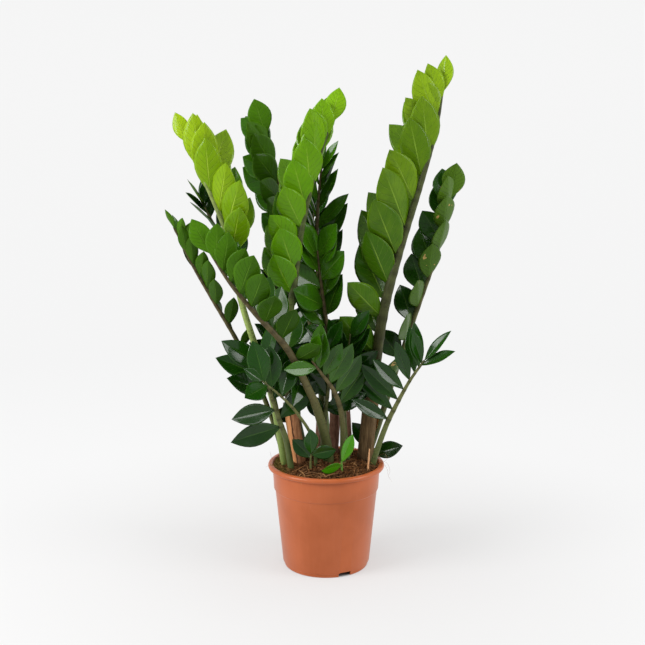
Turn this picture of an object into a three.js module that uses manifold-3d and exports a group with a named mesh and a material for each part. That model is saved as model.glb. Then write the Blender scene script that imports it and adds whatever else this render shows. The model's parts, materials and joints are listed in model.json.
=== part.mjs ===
// Potted ZZ plant: a nursery pot filled with soil, and leafy fronds that stand in holes in the soil.
// Millimetres, +Z up. The origin is the centre of the pot's underside, and -Y is the front.
import * as THREE from 'three';
import { mergeVertices } from 'three/addons/utils/BufferGeometryUtils.js';
import Module from 'manifold-3d';

const wasm = await Module();
wasm.setup();

// ---- Driving dimensions ----
const GAP = 0.35;                // clearance between pieces that touch
const POT_SIDES = 36;            // facets round the pot
const RIM_R = 95;                // outer radius of the rolled rim
const RIM_TOP = 172;             // height of the pot
const COLLAR_R = 87.5;           // collar under the rim, at its top
const COLLAR_TOP = 164;
const COLLAR_FOOT_R = 85.6;
const COLLAR_FOOT = 130.5;       // the collar ends in a step here
const BODY_TOP_R = 83.4;
const BODY_TOP = 128;
const BODY_FOOT_R = 71.4;
const FOOT_TOP = 6.5;            // a small step marks the foot ring
const FOOT_R = 68.6;
const WALL = 1.7;                // thickness of the pot's wall
const FLOOR_Z = 6;               // underside of the raised floor
const PAD_R = 14;                // flat standing pad in the middle of the underside
const NOTCH = { count: 3, first: -64.5, width: 21, height: 8, depth: 16, corner: 2.5 };

const SOIL_EDGE = 168;           // where the soil meets the wall
const SOIL_MOUND = 11;           // how much higher it is in the middle
const SOIL_LUMP = 1.6;           // height of its lumps
const SOIL_SIDES = 22;
const SOIL_RINGS = [0.94, 0.78, 0.58, 0.36, 0.18];  // where its surface has rings of points
const HOLE_OVER = 6;             // the cutter of a stem's hole ends this far over the soil

const BLADE_EDGE = 0.3;          // a leaflet's upper face stands this far over its middle plane
const BLADE_RIB = 1.3;           // and the midrib this far under it
const PETIOLE = 1.3;             // half-width where a leaflet is rooted
const ROOTED = 0.4;              // a blade starts at this share of the stem's radius from its middle
const STATIONS = [0.28, 0.54, 0.8];
const CROWD = 1.3;               // the leaflets stand closer together towards the tip
const LAST_PAIR = 0.965;         // where on the stem the last pair and the end leaflet are rooted
const END_LEAFLET = 0.995;
const CURL = 0.05;               // the blade bends back by this share of its length
const END_OUT = 4;               // degrees between the end leaflet and the stem
const UNEVEN = { out: 10, fold: 15, roll: 15, length: 0.1 };  // how much leaflets differ, either way
const GROWN = { rise: 0.25, from: 0.4, power: 1.2 };  // full size after rise, and smaller again after from
const CLEAR_OTHER = 1.2;         // room that a blade leaves to other pieces
const CLEAR_OWN = 0.5;           // and to its own frond, from these shares of its length on:
const FREE_OF_LEAFLETS = 0.1;
const FREE_OF_STEM = 0.26;

// ---- Fronds ----
// path: points of the stem, from its foot in the soil. radius: at foot, middle and tip.
// first: where on the stem the leaflets start. pairs, leaf, slim: how many pairs, the longest
// leaflet, and its width over its length. small, last: the first and last leaflet over the longest.
// face: where the upper side of the frond looks. out: degrees from the stem, first and last.
// fold: degrees that the two rows fold up. roll: degrees that each blade turns on its own axis.
// bare: up to this share of the leafy part one row has dropped its leaflets; its sign says which.
const FRONDS = [
  { name: 'frond_right_tall', leafy: 'lime', radius: [11, 6.2, 1.5], first: 0.25, pairs: 12, leaf: 108,
    slim: 0.5, small: 0.82, last: 0.52, face: [-1, 0.05, 0.25], out: [47, 33], fold: 64, roll: 17,
    path: [[60, 10, 135], [74, 6, 285], [90, -6, 415], [115, -14, 520], [145, -15, 620], [168, -10, 702],
      [179, -5, 764]] },
  { name: 'frond_centre_light', leafy: 'lime', radius: [9, 5.2, 1.6], first: 0.47, pairs: 11, leaf: 84,
    slim: 0.6, small: 0.95, last: 0.62, face: [-1, -0.1, 0.2], out: [34, 30], fold: 62, roll: 16,
    path: [[-38, -8, 135], [-58, -20, 280], [-60, -35, 390], [-50, -45, 470], [-35, -45, 570],
      [-13, -38, 656], [7, -27, 718]] },
  { name: 'frond_left_light', leafy: 'lime', radius: [6.5, 4.8, 1.5], first: 0.62, pairs: 8, leaf: 92,
    slim: 0.5, small: 0.9, last: 0.56, face: [0.8, 0, 0.6], out: [33, 30], fold: 62, roll: 16,
    path: [[-62, -6, 135], [-84, -30, 280], [-108, -48, 365], [-132, -58, 450], [-150, -64, 545],
      [-184, -60, 630], [-212, -45, 688]] },
  { name: 'frond_left_brown', leafy: 'mid', radius: [9.5, 5.6, 1.4], first: 0.53, pairs: 8, leaf: 70,
    slim: 0.56, small: 0.85, last: 0.8, face: [0.7, 0.1, 0.6], out: [68, 42], fold: 62, roll: 16,
    path: [[6, -16, 135], [2, -22, 200], [-12, -36, 262], [-28, -52, 306], [-60, -80, 376],
      [-106, -105, 434], [-142, -112, 480], [-172, -105, 525]] },
  { name: 'frond_right_dark', leafy: 'dark', radius: [6, 4, 1.5], first: 0.34, pairs: 7, leaf: 70,
    slim: 0.68, small: 0.85, last: 0.9, face: [-0.9, -0.35, 0.25], out: [46, 32], fold: 50, roll: 18,
    path: [[58, 36, 135], [88, 40, 225], [122, 44, 335], [155, 52, 430], [184, 60, 514], [204, 68, 600]] },
  { name: 'frond_right_low', leafy: 'dark', radius: [5.5, 4, 1.6], first: 0.42, pairs: 8, leaf: 82,
    slim: 0.3, small: 0.9, last: 0.8, face: [0, -0.9, 0.4], out: [84, 26], fold: 12, roll: 20, bare: 0.8,
    path: [[72, -12, 135], [76, -12, 172], [95, -18, 234], [111, -30, 274], [131, -46, 318],
      [152, -58, 353]] },
  { name: 'frond_front_left', leafy: 'dark', radius: [3, 2.4, 1.2], first: 0.5, pairs: 4, leaf: 70,
    slim: 0.52, small: 0.9, last: 0.95, face: [0.2, -0.75, 0.6], out: [76, 40], fold: 15, roll: 14, bare: 0.7,
    path: [[-16, -34, 135], [-20, -38, 215], [-44, -60, 267], [-70, -82, 302], [-98, -98, 330]] },
  { name: 'frond_front_centre', leafy: 'mid', radius: [5.5, 4, 1.4], first: 0.42, pairs: 7, leaf: 74,
    slim: 0.4, small: 0.95, last: 0.8, face: [0, -0.9, 0.4], out: [62, 34], fold: 14, roll: 12, bare: 0.7,
    path: [[26, -18, 135], [27, -24, 215], [24, -32, 262], [12, -44, 301], [-8, -58, 333],
      [-22, -66, 354]] },
  { name: 'frond_far_left', leafy: 'mid', radius: [4.5, 3.2, 1.2], first: 0.4, pairs: 9, leaf: 58,
    slim: 0.4, small: 0.95, last: 0.62, face: [0.55, 0.35, 0.7], out: [40, 26], fold: 30, roll: 14,
    path: [[-58, 18, 135], [-94, -8, 265], [-134, -36, 368], [-176, -56, 450], [-204, -70, 505],
      [-228, -80, 560]] },
  { name: 'frond_low_left', leafy: 'dark', radius: [5.5, 4, 1.5], first: 0.44, pairs: 5, leaf: 88,
    slim: 0.42, small: 0.95, last: 0.85, face: [0.1, -0.85, 0.5], out: [74, 34], fold: 14, roll: 16,
    path: [[-52, -34, 135], [-62, -42, 213], [-74, -50, 255], [-90, -58, 310], [-98, -62, 352]] },
  { name: 'frond_centre_dark', leafy: 'mid', radius: [6, 4, 1.4], first: 0.34, pairs: 8, leaf: 88,
    slim: 0.34, small: 0.95, last: 0.52, face: [0.2, -0.85, 0.3], out: [36, 30], fold: 30, roll: 24,
    path: [[10, 30, 135], [14, 32, 275], [-4, 28, 420], [-15, 22, 518], [-13, 18, 590], [-7, 20, 655]] },
  { name: 'frond_centre_low', leafy: 'mid', radius: [6, 4, 1.5], first: 0.34, pairs: 7, leaf: 84,
    slim: 0.58, small: 0.9, last: 0.8, face: [0, -0.9, 0.4], out: [46, 26], fold: 28, roll: 14,
    path: [[36, 26, 135], [30, 16, 260], [6, 0, 370], [-6, -8, 450], [-14, -12, 520]] },
  { name: 'frond_left_mid', leafy: 'mid', radius: [6, 4.2, 1.5], first: 0.4, pairs: 8, leaf: 74,
    slim: 0.64, small: 0.85, last: 0.85, face: [-0.9, -0.35, 0.25], out: [46, 34], fold: 50, roll: 18,
    path: [[-14, 32, 135], [-8, 40, 285], [-34, 42, 440], [-60, 42, 560], [-80, 42, 636], [-96, 38, 700]] },
  { name: 'frond_left_back', leafy: 'dark', radius: [4.5, 3.2, 1.2], first: 0.5, pairs: 7, leaf: 62,
    slim: 0.36, small: 0.9, last: 0.8, face: [0.5, -0.6, 0.6], out: [50, 28], fold: 30, roll: 14,
    path: [[-26, 52, 135], [-62, 50, 290], [-116, 54, 425], [-158, 62, 510], [-190, 66, 566],
      [-206, 64, 598]] },
  { name: 'frond_front_dark', leafy: 'dark', radius: [4.5, 3.4, 1.3], first: 0.38, pairs: 5, leaf: 72,
    slim: 0.46, small: 0.9, last: 0.9, face: [0.1, -0.8, 0.5], out: [50, 22], fold: 22, roll: 12,
    path: [[-8, 0, 135], [-4, -6, 235], [4, -20, 310], [2, -36, 372]] },
  { name: 'frond_low_right', leafy: 'dark', radius: [4.5, 3.4, 1.3], first: 0.4, pairs: 6, leaf: 74,
    slim: 0.42, small: 0.9, last: 0.9, face: [0.1, -0.8, 0.5], out: [48, 22], fold: 16, roll: 12,
    path: [[40, -4, 135], [30, -4, 235], [30, -16, 310], [38, -28, 390]] },
  { name: 'frond_low_back', leafy: 'dark', radius: [4.5, 3.4, 1.3], first: 0.36, pairs: 6, leaf: 70,
    slim: 0.46, small: 0.9, last: 0.9, face: [0.1, -0.8, 0.5], out: [62, 30], fold: 22, roll: 12,
    path: [[-34, 24, 135], [-46, 20, 240], [-66, 10, 320], [-82, 2, 372]] },
  { name: 'frond_back_left', leafy: 'dark', radius: [5.5, 4, 1.4], first: 0.36, pairs: 7, leaf: 78,
    slim: 0.52, small: 0.7, last: 0.7, face: [0.2, -0.9, 0.5], out: [52, 30], fold: 30, roll: 12,
    path: [[-48, 50, 135], [-50, 100, 260], [-70, 135, 365], [-90, 150, 455]] },
  { name: 'frond_back_tall', leafy: 'dark', radius: [6, 4.2, 1.4], first: 0.36, pairs: 8, leaf: 78,
    slim: 0.52, small: 0.7, last: 0.7, face: [0.1, -0.9, 0.4], out: [52, 30], fold: 30, roll: 12,
    path: [[8, 66, 135], [-5, 100, 270], [-15, 130, 395], [-25, 150, 505], [-20, 150, 585]] },
  { name: 'baby_shoot', leafy: 'fresh', radius: [2.2, 1.8, 1.2], first: 0.8, pairs: 1, leaf: 52,
    slim: 0.46, small: 0.9, last: 0.5, face: [0.55, -0.8, 0.4], out: [92, -10], fold: 12, roll: 8,
    path: [[25, -54, 150], [25, -56, 174], [24, -58, 190]] },
  { name: 'rim_shoot', leafy: 'dark', radius: [2.4, 2, 1.3], first: 0.7, pairs: 1, leaf: 60,
    slim: 0.5, small: 0.9, last: 0.95, face: [-0.2, -0.9, 0.3], out: [66, 60], fold: 8, roll: 8,
    path: [[74, 22, 150], [75, 22, 170], [80, 25, 188]] },
  { name: 'dark_shoot', leafy: 'dark', radius: [2.2, 1.8, 1.2], first: 0.8, pairs: 1, leaf: 46,
    slim: 0.56, small: 0.95, last: 0.9, face: [0.1, -0.9, 0.4], out: [48, 70], fold: 10, roll: 10,
    path: [[-24, -46, 150], [-25, -47, 182], [-24, -50, 200]] },
];

// Dry sheaths that wrap the feet of the older stems. from, to: heights. open: where the gap in the
// wrap looks, in degrees from +X. wrap: degrees of stem that it covers.
const SHEATHS = [
  { name: 'sheath_left', on: 'frond_centre_light', from: 164, to: 274, open: 60, wrap: 250 },
  { name: 'sheath_right', on: 'frond_right_tall', from: 164, to: 288, open: 120, wrap: 220 },
  { name: 'sheath_centre_dark', on: 'frond_centre_dark', from: 166, to: 262, open: 100, wrap: 250 },
  { name: 'sheath_centre_low', on: 'frond_centre_low', from: 166, to: 258, open: 70, wrap: 250 },
  { name: 'sheath_centre_back', on: 'frond_left_mid', from: 166, to: 250, open: 90, wrap: 250 },
];
const SHEATH_GAP = 3 * GAP;      // room between a sheath and its stem
const SHEATH_WALL = 1;
const SHEATH_FLARE = 1.4;        // the sheath stands off the stem by this much more at its top
const SHEATH_RAGGED = 9;         // its upper edge is torn by this much, either way
const SHEATH_STEPS = 3;
const SHEATH_FACETS = 7;
const SHEATH_TURN = Math.PI / 10;  // half the angle of its widest facet

const STUB = { name: 'dry_stub', path: [[66, -40, 150], [67, -41, 178], [69, -42, 206]], radius: [2.2, 1.6, 1],
  face: [0, -1, 0], pairs: 0 };

// What a leaflet tries, in turn, where its natural place would cross a neighbour:
// degrees added to out, fold and roll, and its length over the natural one.
const BENDS = [
  [0, 0, 0, 1], [0, 10, 0, 1], [0, -10, 0, 1], [8, 0, 0, 1], [-8, 0, 0, 1], [0, 0, 12, 1], [0, 0, -12, 1],
  [8, 14, 0, 1], [8, -14, 0, 1], [-8, 14, 0, 1], [-8, -14, 0, 1], [14, 0, 14, 0.9], [-14, 0, -14, 0.9],
  [14, 20, 0, 0.85], [-14, -20, 0, 0.85], [0, 24, 10, 0.85], [0, -24, -10, 0.85], [20, 0, 20, 0.85],
  [0, 0, 0, 0.7], [14, 0, 0, 0.7], [-14, 0, 0, 0.7], [0, 30, 0, 0.7], [0, -30, 0, 0.7], [0, 0, 24, 0.6],
  [0, 0, -24, 0.6], [10, 20, 20, 0.6], [-10, -20, -20, 0.6],
];

// ---- Finishes ----
const finish = (color, roughness) => new THREE.MeshStandardMaterial({ color, roughness, metalness: 0 });
const FINISHES = {
  lime: finish('#86b52f', 0.38),
  mid: finish('#4f8a36', 0.36),
  dark: finish('#2b5a2f', 0.32),
  fresh: finish('#5cae2c', 0.34),
  clay: finish('#c8673f', 0.45),
  soil: finish('#4a3322', 0.95),
  sheath: finish('#a9764e', 0.8),
};

// ---- Small tools ----
const vec = (p) => new THREE.Vector3(...p);
const mix = (a, b, t) => a + (b - a) * t;
const wobble = (n, k) => 2 * ((n * 0.618034 + k * 0.754878 + 0.5) % 1) - 1;

// A closed mesh from points and triangles.
function mesh(points, faces) {
  const geometry = new THREE.BufferGeometry();
  geometry.setAttribute('position', new THREE.Float32BufferAttribute(points.flatMap((p) => p.toArray()), 3));
  geometry.setIndex(faces.flat());
  return geometry;
}

function solid(geometry) {
  const bare = geometry.clone();
  bare.deleteAttribute('normal');
  bare.deleteAttribute('uv');
  const merged = mergeVertices(bare, 1e-4);
  const index = [...merged.index.array];
  const triVerts = [];
  for (let i = 0; i < index.length; i += 3) {
    const [a, b, c] = index.slice(i, i + 3);
    if (a !== b && b !== c && c !== a) triVerts.push(a, b, c);
  }
  return new wasm.Manifold(new wasm.Mesh({
    numProp: 3,
    vertProperties: new Float32Array(merged.attributes.position.array),
    triVerts: new Uint32Array(triVerts),
  }));
}

function geometryOf(body) {
  const { numProp, vertProperties, triVerts } = body.getMesh();
  const geometry = new THREE.BufferGeometry();
  const points = [];
  for (let i = 0; i < vertProperties.length; i += numProp) {
    points.push(vertProperties[i], vertProperties[i + 1], vertProperties[i + 2]);
  }
  geometry.setAttribute('position', new THREE.Float32BufferAttribute(points, 3));
  geometry.setIndex([...triVerts]);
  geometry.computeVertexNormals();
  return geometry;
}

const plant = new THREE.Group();
function add(name, body, material) {
  const piece = new THREE.Mesh(geometryOf(body), FINISHES[material]);
  piece.name = name;
  plant.add(piece);
}

// ---- Stems ----
// A frond's curve with, at any place on it, its direction, its upper side and its near side.
function frame(frond, t) {
  const curve = frond.curve;
  const direction = curve.getPoint(Math.min(1, t + 0.01)).sub(curve.getPoint(Math.max(0, t - 0.01))).normalize();
  const up = vec(frond.face).normalize();
  up.addScaledVector(direction, -up.dot(direction)).normalize();
  const side = new THREE.Vector3().crossVectors(direction, up);
  if (side.y > 0) side.negate();
  return { point: curve.getPoint(t), direction, up, side };
}

const stemRadius = ([foot, middle, tip], t) => (t < 0.5 ? mix(foot, middle, t * 2) : mix(middle, tip, t * 2 - 1));

// A closed tube through rings of points, each ring in the plane of up and side.
function tube(rings) {
  const sides = rings[0].length;
  const faces = [];
  for (let i = 0; i + 1 < rings.length; i += 1) {
    for (let j = 0; j < sides; j += 1) {
      const a = i * sides + j;
      const b = i * sides + ((j + 1) % sides);
      faces.push([a, b, b + sides], [a, b + sides, a + sides]);
    }
  }
  const last = (rings.length - 1) * sides;
  for (let j = 1; j + 1 < sides; j += 1) faces.push([0, j + 1, j], [last, last + j, last + j + 1]);
  return mesh(rings.flat(), faces);
}

function ring({ point, direction, up }, radius, sides, lift = 0) {
  const across = new THREE.Vector3().crossVectors(direction, up);
  return Array.from({ length: sides }, (_, j) => {
    const angle = (2 * Math.PI * j) / sides;
    return point.clone().addScaledVector(direction, lift)
      .addScaledVector(up, Math.cos(angle) * radius).addScaledVector(across, Math.sin(angle) * radius);
  });
}

const stemSteps = (frond) => Math.max(6, frond.path.length);
const stemSides = (frond) => (frond.radius[0] > 6 ? 7 : 5);

function stem(frond) {
  const rings = [];
  const steps = stemSteps(frond);
  for (let i = 0; i <= steps; i += 1) {
    const t = i / steps;
    rings.push(ring(frame(frond, t), stemRadius(frond.radius, t), stemSides(frond)));
  }
  return solid(tube(rings));
}

// The inside of a dry sheath round a stem of this radius.
const sheathInside = (radius) => (radius + SHEATH_GAP) / Math.cos(SHEATH_TURN);

function holeRadius(frond, t) {
  const r = stemRadius(frond.radius, t);
  if (!frond.sheathed) return r + GAP;
  return (sheathInside(r) + SHEATH_WALL + 2 * GAP) / Math.cos(Math.PI / stemSides(frond));
}

// The hole in the soil: the stem's own first stretch, a little wider and deeper.
function hole(frond) {
  const rings = [];
  const steps = stemSteps(frond);
  const top = SOIL_EDGE + SOIL_MOUND + HOLE_OVER;
  for (let i = 0; !rings.length || frame(frond, (i - 1) / steps).point.z < top; i += 1) {
    const t = i / steps;
    rings.push(ring(frame(frond, t), holeRadius(frond, t), stemSides(frond), i ? 0 : -1));
  }
  return solid(tube(rings));
}

// ---- Leaflets ----
// A leaflet's outline: 1 where it is widest, just past its middle, and 0 at its root and tip.
const halfWidth = (s) => 4.732 * s ** 1.2 * (1 - s) ** 1.05;

// One blade: a root sunk in the stem, three stations of edge, edge and midrib, and a pointed tip.
// For the crossing test, spare makes it longer, wider and thicker by enough to hold the real blade,
// and from starts it further out.
function blade({ root, along, across, normal, length, slim, start }, spare = 0, from = start) {
  const points = [];
  const at = (s, e, h) => root.clone().addScaledVector(along, s * (length + spare)).addScaledVector(across, e)
    .addScaledVector(normal, h - CURL * length * s * s);
  [from, ...STATIONS].forEach((s) => {
    const half = (s === start ? PETIOLE : halfWidth(s) * slim * length * 0.5) + 2 * spare;
    const top = BLADE_EDGE + spare / 4;
    points.push(at(s, half, top), at(s, -half, top), at(s, 0, -BLADE_RIB - 2 * spare));
  });
  points.push(at(1, 0, 0));
  const faces = [[0, 1, 2]];
  for (let i = 0; i < STATIONS.length; i += 1) {
    [[0, 1], [1, 2], [2, 0]].forEach(([j, k]) => {
      const a = i * 3 + j;
      const b = i * 3 + k;
      faces.push(k ? [a, a + 3, b] : [a, a + 3, b + 3], k ? [b, a + 3, b + 3] : [a, b + 3, b]);
    });
  }
  const end = STATIONS.length * 3;
  faces.push([end, end + 3, end + 1], [end + 1, end + 3, end + 2], [end + 2, end + 3, end]);
  const lefthanded = new THREE.Vector3().crossVectors(along, across).dot(normal) < 0;
  return solid(mesh(points, lefthanded ? faces : faces.map(([i, j, k]) => [i, k, j])));
}

// Where leaflet number j of a frond sits and looks, with one of the bends applied.
function pose(frond, j, bend) {
  const count = frond.pairs * 2 + 1;
  const end = j === count - 1;
  const q = j / (count - 1);
  const n = frond.seed + j;
  const rooted = frond.first + (LAST_PAIR - frond.first) * (1 - (1 - Math.min(1, j / (count - 2))) ** CROWD);
  const place = frame(frond, end ? END_LEAFLET : rooted);
  const side = j % 2 ? -1 : 1;
  const radians = THREE.MathUtils.degToRad;
  const spread = mix(frond.out[0], frond.out[1], q) + UNEVEN.out * wobble(n, 2) + bend[0];
  const raised = frond.fold + UNEVEN.fold * wobble(n, 3) + bend[1];
  const out = radians(end ? END_OUT : spread);
  const fold = radians(end ? 90 * Math.round(frond.fold / 90) : raised);
  const roll = radians(frond.roll + UNEVEN.roll * wobble(n, 4) + bend[2]);
  const grown = q < GROWN.from
    ? mix(frond.small, 1, Math.sin(Math.PI * Math.min(1, q / GROWN.rise) / 2))
    : 1 - (1 - frond.last) * ((q - GROWN.from) / (1 - GROWN.from)) ** GROWN.power;
  const outward = place.side.clone().multiplyScalar(side * Math.cos(fold)).addScaledVector(place.up, Math.sin(fold));
  const flat = place.side.clone().multiplyScalar(-side * Math.sin(fold)).addScaledVector(place.up, Math.cos(fold));
  const along = place.direction.clone().multiplyScalar(Math.cos(out)).addScaledVector(outward, Math.sin(out));
  const lead = place.direction.clone().addScaledVector(along, -along.dot(place.direction)).normalize();
  const length = frond.leaf * grown * (1 + UNEVEN.length * wobble(n, 1)) * bend[3];
  return {
    root: place.point,
    along,
    across: lead.clone().multiplyScalar(Math.cos(roll)).addScaledVector(flat, -Math.sin(roll)),
    normal: flat.clone().multiplyScalar(Math.cos(roll)).addScaledVector(lead, Math.sin(roll)),
    length,
    slim: frond.slim,
    start: end ? 0 : ROOTED * stemRadius(frond.radius, rooted) / length,
  };
}

// ---- Pot ----
const turned = (profile, sides) => new THREE.LatheGeometry(
  profile.map(([r, z]) => new THREE.Vector2(r, z)), sides).rotateX(Math.PI / 2);

function pot() {
  const floorTop = FLOOR_Z + WALL;
  const shell = solid(turned([
    [0, 0], [PAD_R, 0], [PAD_R + 1, FLOOR_Z], [FOOT_R - WALL - 1, FLOOR_Z], [FOOT_R - WALL - 1, 0], [FOOT_R, 0],
    [FOOT_R + 0.8, FOOT_TOP - 1], [BODY_FOOT_R, FOOT_TOP], [BODY_TOP_R, BODY_TOP], [COLLAR_FOOT_R, COLLAR_FOOT],
    [COLLAR_R, COLLAR_TOP], [RIM_R - 2, COLLAR_TOP + 0.8], [RIM_R, RIM_TOP - 5], [RIM_R - 0.4, RIM_TOP - 2],
    [RIM_R - 3, RIM_TOP], [COLLAR_R, RIM_TOP - 0.4], [COLLAR_R - WALL, RIM_TOP - 3],
    [COLLAR_FOOT_R - WALL, COLLAR_FOOT], [BODY_TOP_R - WALL, BODY_TOP],
    [BODY_FOOT_R - WALL, floorTop], [0, floorTop],
  ], POT_SIDES));
  const { width, height, corner, depth } = NOTCH;
  const arch = new THREE.Shape();
  arch.moveTo(-width / 2, -1);
  arch.lineTo(width / 2, -1);
  arch.lineTo(width / 2, height - corner);
  arch.quadraticCurveTo(width / 2, height, width / 2 - corner, height);
  arch.lineTo(corner - width / 2, height);
  arch.quadraticCurveTo(-width / 2, height, -width / 2, height - corner);
  const cutter = new THREE.ExtrudeGeometry(arch, { depth, bevelEnabled: false, curveSegments: 3 })
    .rotateX(Math.PI / 2).translate(0, depth - FOOT_R - 6, 0);
  let body = shell;
  for (let i = 0; i < NOTCH.count; i += 1) {
    const azimuth = NOTCH.first + (360 / NOTCH.count) * i;
    body = body.subtract(solid(cutter.clone().rotateZ(THREE.MathUtils.degToRad(azimuth + 90))));
  }
  return body;
}

// ---- Soil ----
function soilTop(x, y) {
  const r = Math.min(1, Math.hypot(x, y) / COLLAR_R);
  const lumps = Math.sin(x / 7 + 1) * Math.cos(y / 9) + Math.sin(y / 5.3 + x / 11) * 0.8;
  return SOIL_EDGE + SOIL_MOUND * (1 - r * r) ** 1.2 + SOIL_LUMP * lumps * (1 - r ** 6);
}

// The soil's radius inside a faceted wall of outer radius r.
const inside = (r) => (r - WALL) * Math.cos(Math.PI / POT_SIDES) - GAP;

function soil() {
  const edge = inside(COLLAR_R);
  const bottom = FLOOR_Z + WALL + GAP;
  const geometry = turned([
    [0, bottom], [inside(BODY_FOOT_R), bottom], [inside(BODY_TOP_R), BODY_TOP],
    [inside(COLLAR_FOOT_R), COLLAR_FOOT + 0.5], [edge, SOIL_EDGE],
    ...SOIL_RINGS.map((part) => [edge * part, SOIL_EDGE + 1]), [0, SOIL_EDGE + 1],
  ], SOIL_SIDES);
  const points = geometry.attributes.position;
  for (let i = 0; i < points.count; i += 1) {
    if (points.getZ(i) > SOIL_EDGE + 0.5) points.setZ(i, soilTop(points.getX(i), points.getY(i)));
  }
  return solid(geometry);
}

// ---- Dry sheaths ----
function heightToPlace(frond, z) {
  let low = 0;
  let high = 1;
  for (let i = 0; i < 24; i += 1) {
    const middle = (low + high) / 2;
    if (frond.curve.getPoint(middle).z < z) low = middle;
    else high = middle;
  }
  return low;
}

function sheath({ frond, from, to, open, wrap }) {
  const opening = new THREE.Vector3(Math.cos(open * Math.PI / 180), Math.sin(open * Math.PI / 180), 0);
  const points = [];
  for (let i = 0; i <= SHEATH_STEPS; i += 1) {
    const rise = i / SHEATH_STEPS;
    for (const wall of [SHEATH_WALL, 0]) {
      for (let j = 0; j <= SHEATH_FACETS; j += 1) {
        const ragged = rise === 1 ? SHEATH_RAGGED * wobble(j, 5) : 0;
        const t = heightToPlace(frond, mix(from, to, rise) + ragged);
        const { point, direction } = frame(frond, t);
        const back = opening.clone().addScaledVector(direction, -opening.dot(direction)).normalize();
        const across = new THREE.Vector3().crossVectors(direction, back);
        const angle = Math.PI + THREE.MathUtils.degToRad(wrap * (j / SHEATH_FACETS - 0.5));
        const r = sheathInside(stemRadius(frond.radius, t)) + SHEATH_FLARE * rise * rise + wall;
        points.push(point.addScaledVector(back, Math.cos(angle) * r).addScaledVector(across, Math.sin(angle) * r));
      }
    }
  }
  const row = SHEATH_FACETS + 1;
  const faces = [];
  const quad = (a, b, c, d) => faces.push([a, b, c], [a, c, d]);
  for (let j = 0; j < SHEATH_FACETS; j += 1) {
    for (let i = 0; i < SHEATH_STEPS; i += 1) {
      const outer = i * 2 * row + j;
      const inner = outer + row;
      quad(outer, outer + 1, outer + 1 + 2 * row, outer + 2 * row);
      quad(inner + 1, inner, inner + 2 * row, inner + 1 + 2 * row);
    }
    const top = SHEATH_STEPS * 2 * row + j;
    quad(j + 1, j, j + row, j + row + 1);
    quad(top, top + 1, top + row + 1, top + row);
  }
  for (let i = 0; i < SHEATH_STEPS; i += 1) {
    const start = i * 2 * row;
    const end = start + SHEATH_FACETS;
    quad(start + row, start, start + 2 * row, start + 3 * row);
    quad(end, end + row, end + 3 * row, end + 2 * row);
  }
  return solid(mesh(points, faces));
}

// ---- Assembly ----
// Everything that a leaflet has to stay clear of, each with its box and its owner.
const taken = [];
function take(owner, body) {
  taken.push({ owner, body, box: body.boundingBox() });
}

const apart = (a, b) => [0, 1, 2].some((k) => a.min[k] > b.max[k] || b.min[k] > a.max[k]);

function crosses(body, others) {
  const box = body.boundingBox();
  return others.some((other) => !apart(box, other.box) && !body.intersect(other.body).isEmpty());
}

function grow(frond) {
  const body = [frond.body];
  const own = [];
  const trunk = [{ body: frond.body, box: frond.body.boundingBox() }];
  for (let j = 0; j <= frond.pairs * 2; j += 1) {
    const shed = frond.bare && (j % 2 === 0) === (frond.bare > 0);
    if (shed && j / (frond.pairs * 2) < Math.abs(frond.bare)) continue;
    const others = taken.filter((item) => item.owner !== frond.name);
    const bend = BENDS.find((candidate) => {
      const wanted = pose(frond, j, candidate);
      return !crosses(blade(wanted, CLEAR_OTHER), others)
        && !crosses(blade(wanted, CLEAR_OWN, FREE_OF_LEAFLETS), own)
        && !crosses(blade(wanted, CLEAR_OWN, FREE_OF_STEM), trunk);
    });
    if (bend) {
      const leaflet = blade(pose(frond, j, bend));
      take(frond.name, leaflet);
      own.push({ body: leaflet, box: leaflet.boundingBox() });
      body.push(leaflet);
    }
  }
  return body.reduce((whole, leaflet) => whole.add(leaflet));
}

let count = 1;
[...FRONDS, STUB].forEach((frond) => {
  frond.curve = new THREE.CatmullRomCurve3(frond.path.map(vec), false, 'catmullrom', 0.5);
  frond.seed = count;
  count += frond.pairs * 2 + 1;
  frond.body = stem(frond);
});
SHEATHS.forEach((wrap) => {
  wrap.frond = FRONDS.find((frond) => frond.name === wrap.on);
  wrap.frond.sheathed = true;
});

let ground = soil();
[...FRONDS, STUB].forEach((frond) => {
  ground = ground.subtract(hole(frond));
});
const container = pot();
take('pot', container);
take('soil', ground);
FRONDS.forEach((frond) => take(frond.name, frond.body));
take(STUB.name, STUB.body);
add('pot', container, 'clay');
add('soil', ground, 'soil');
SHEATHS.forEach((wrap) => {
  const body = sheath(wrap);
  take(wrap.name, body);
  add(wrap.name, body, 'sheath');
});
FRONDS.forEach((frond) => add(frond.name, grow(frond), frond.leafy));
add(STUB.name, STUB.body, 'sheath');

export default plant;
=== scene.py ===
"""A potted ZZ plant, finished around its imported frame, on a pale studio floor.

Metres, +Z up, the origin at the centre of the pot's underside, the front towards -Y.
"""

import json
import math
from types import SimpleNamespace

import bmesh
import bpy
from mathutils import Matrix, Vector, noise
from mathutils.bvhtree import BVHTree

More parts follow.
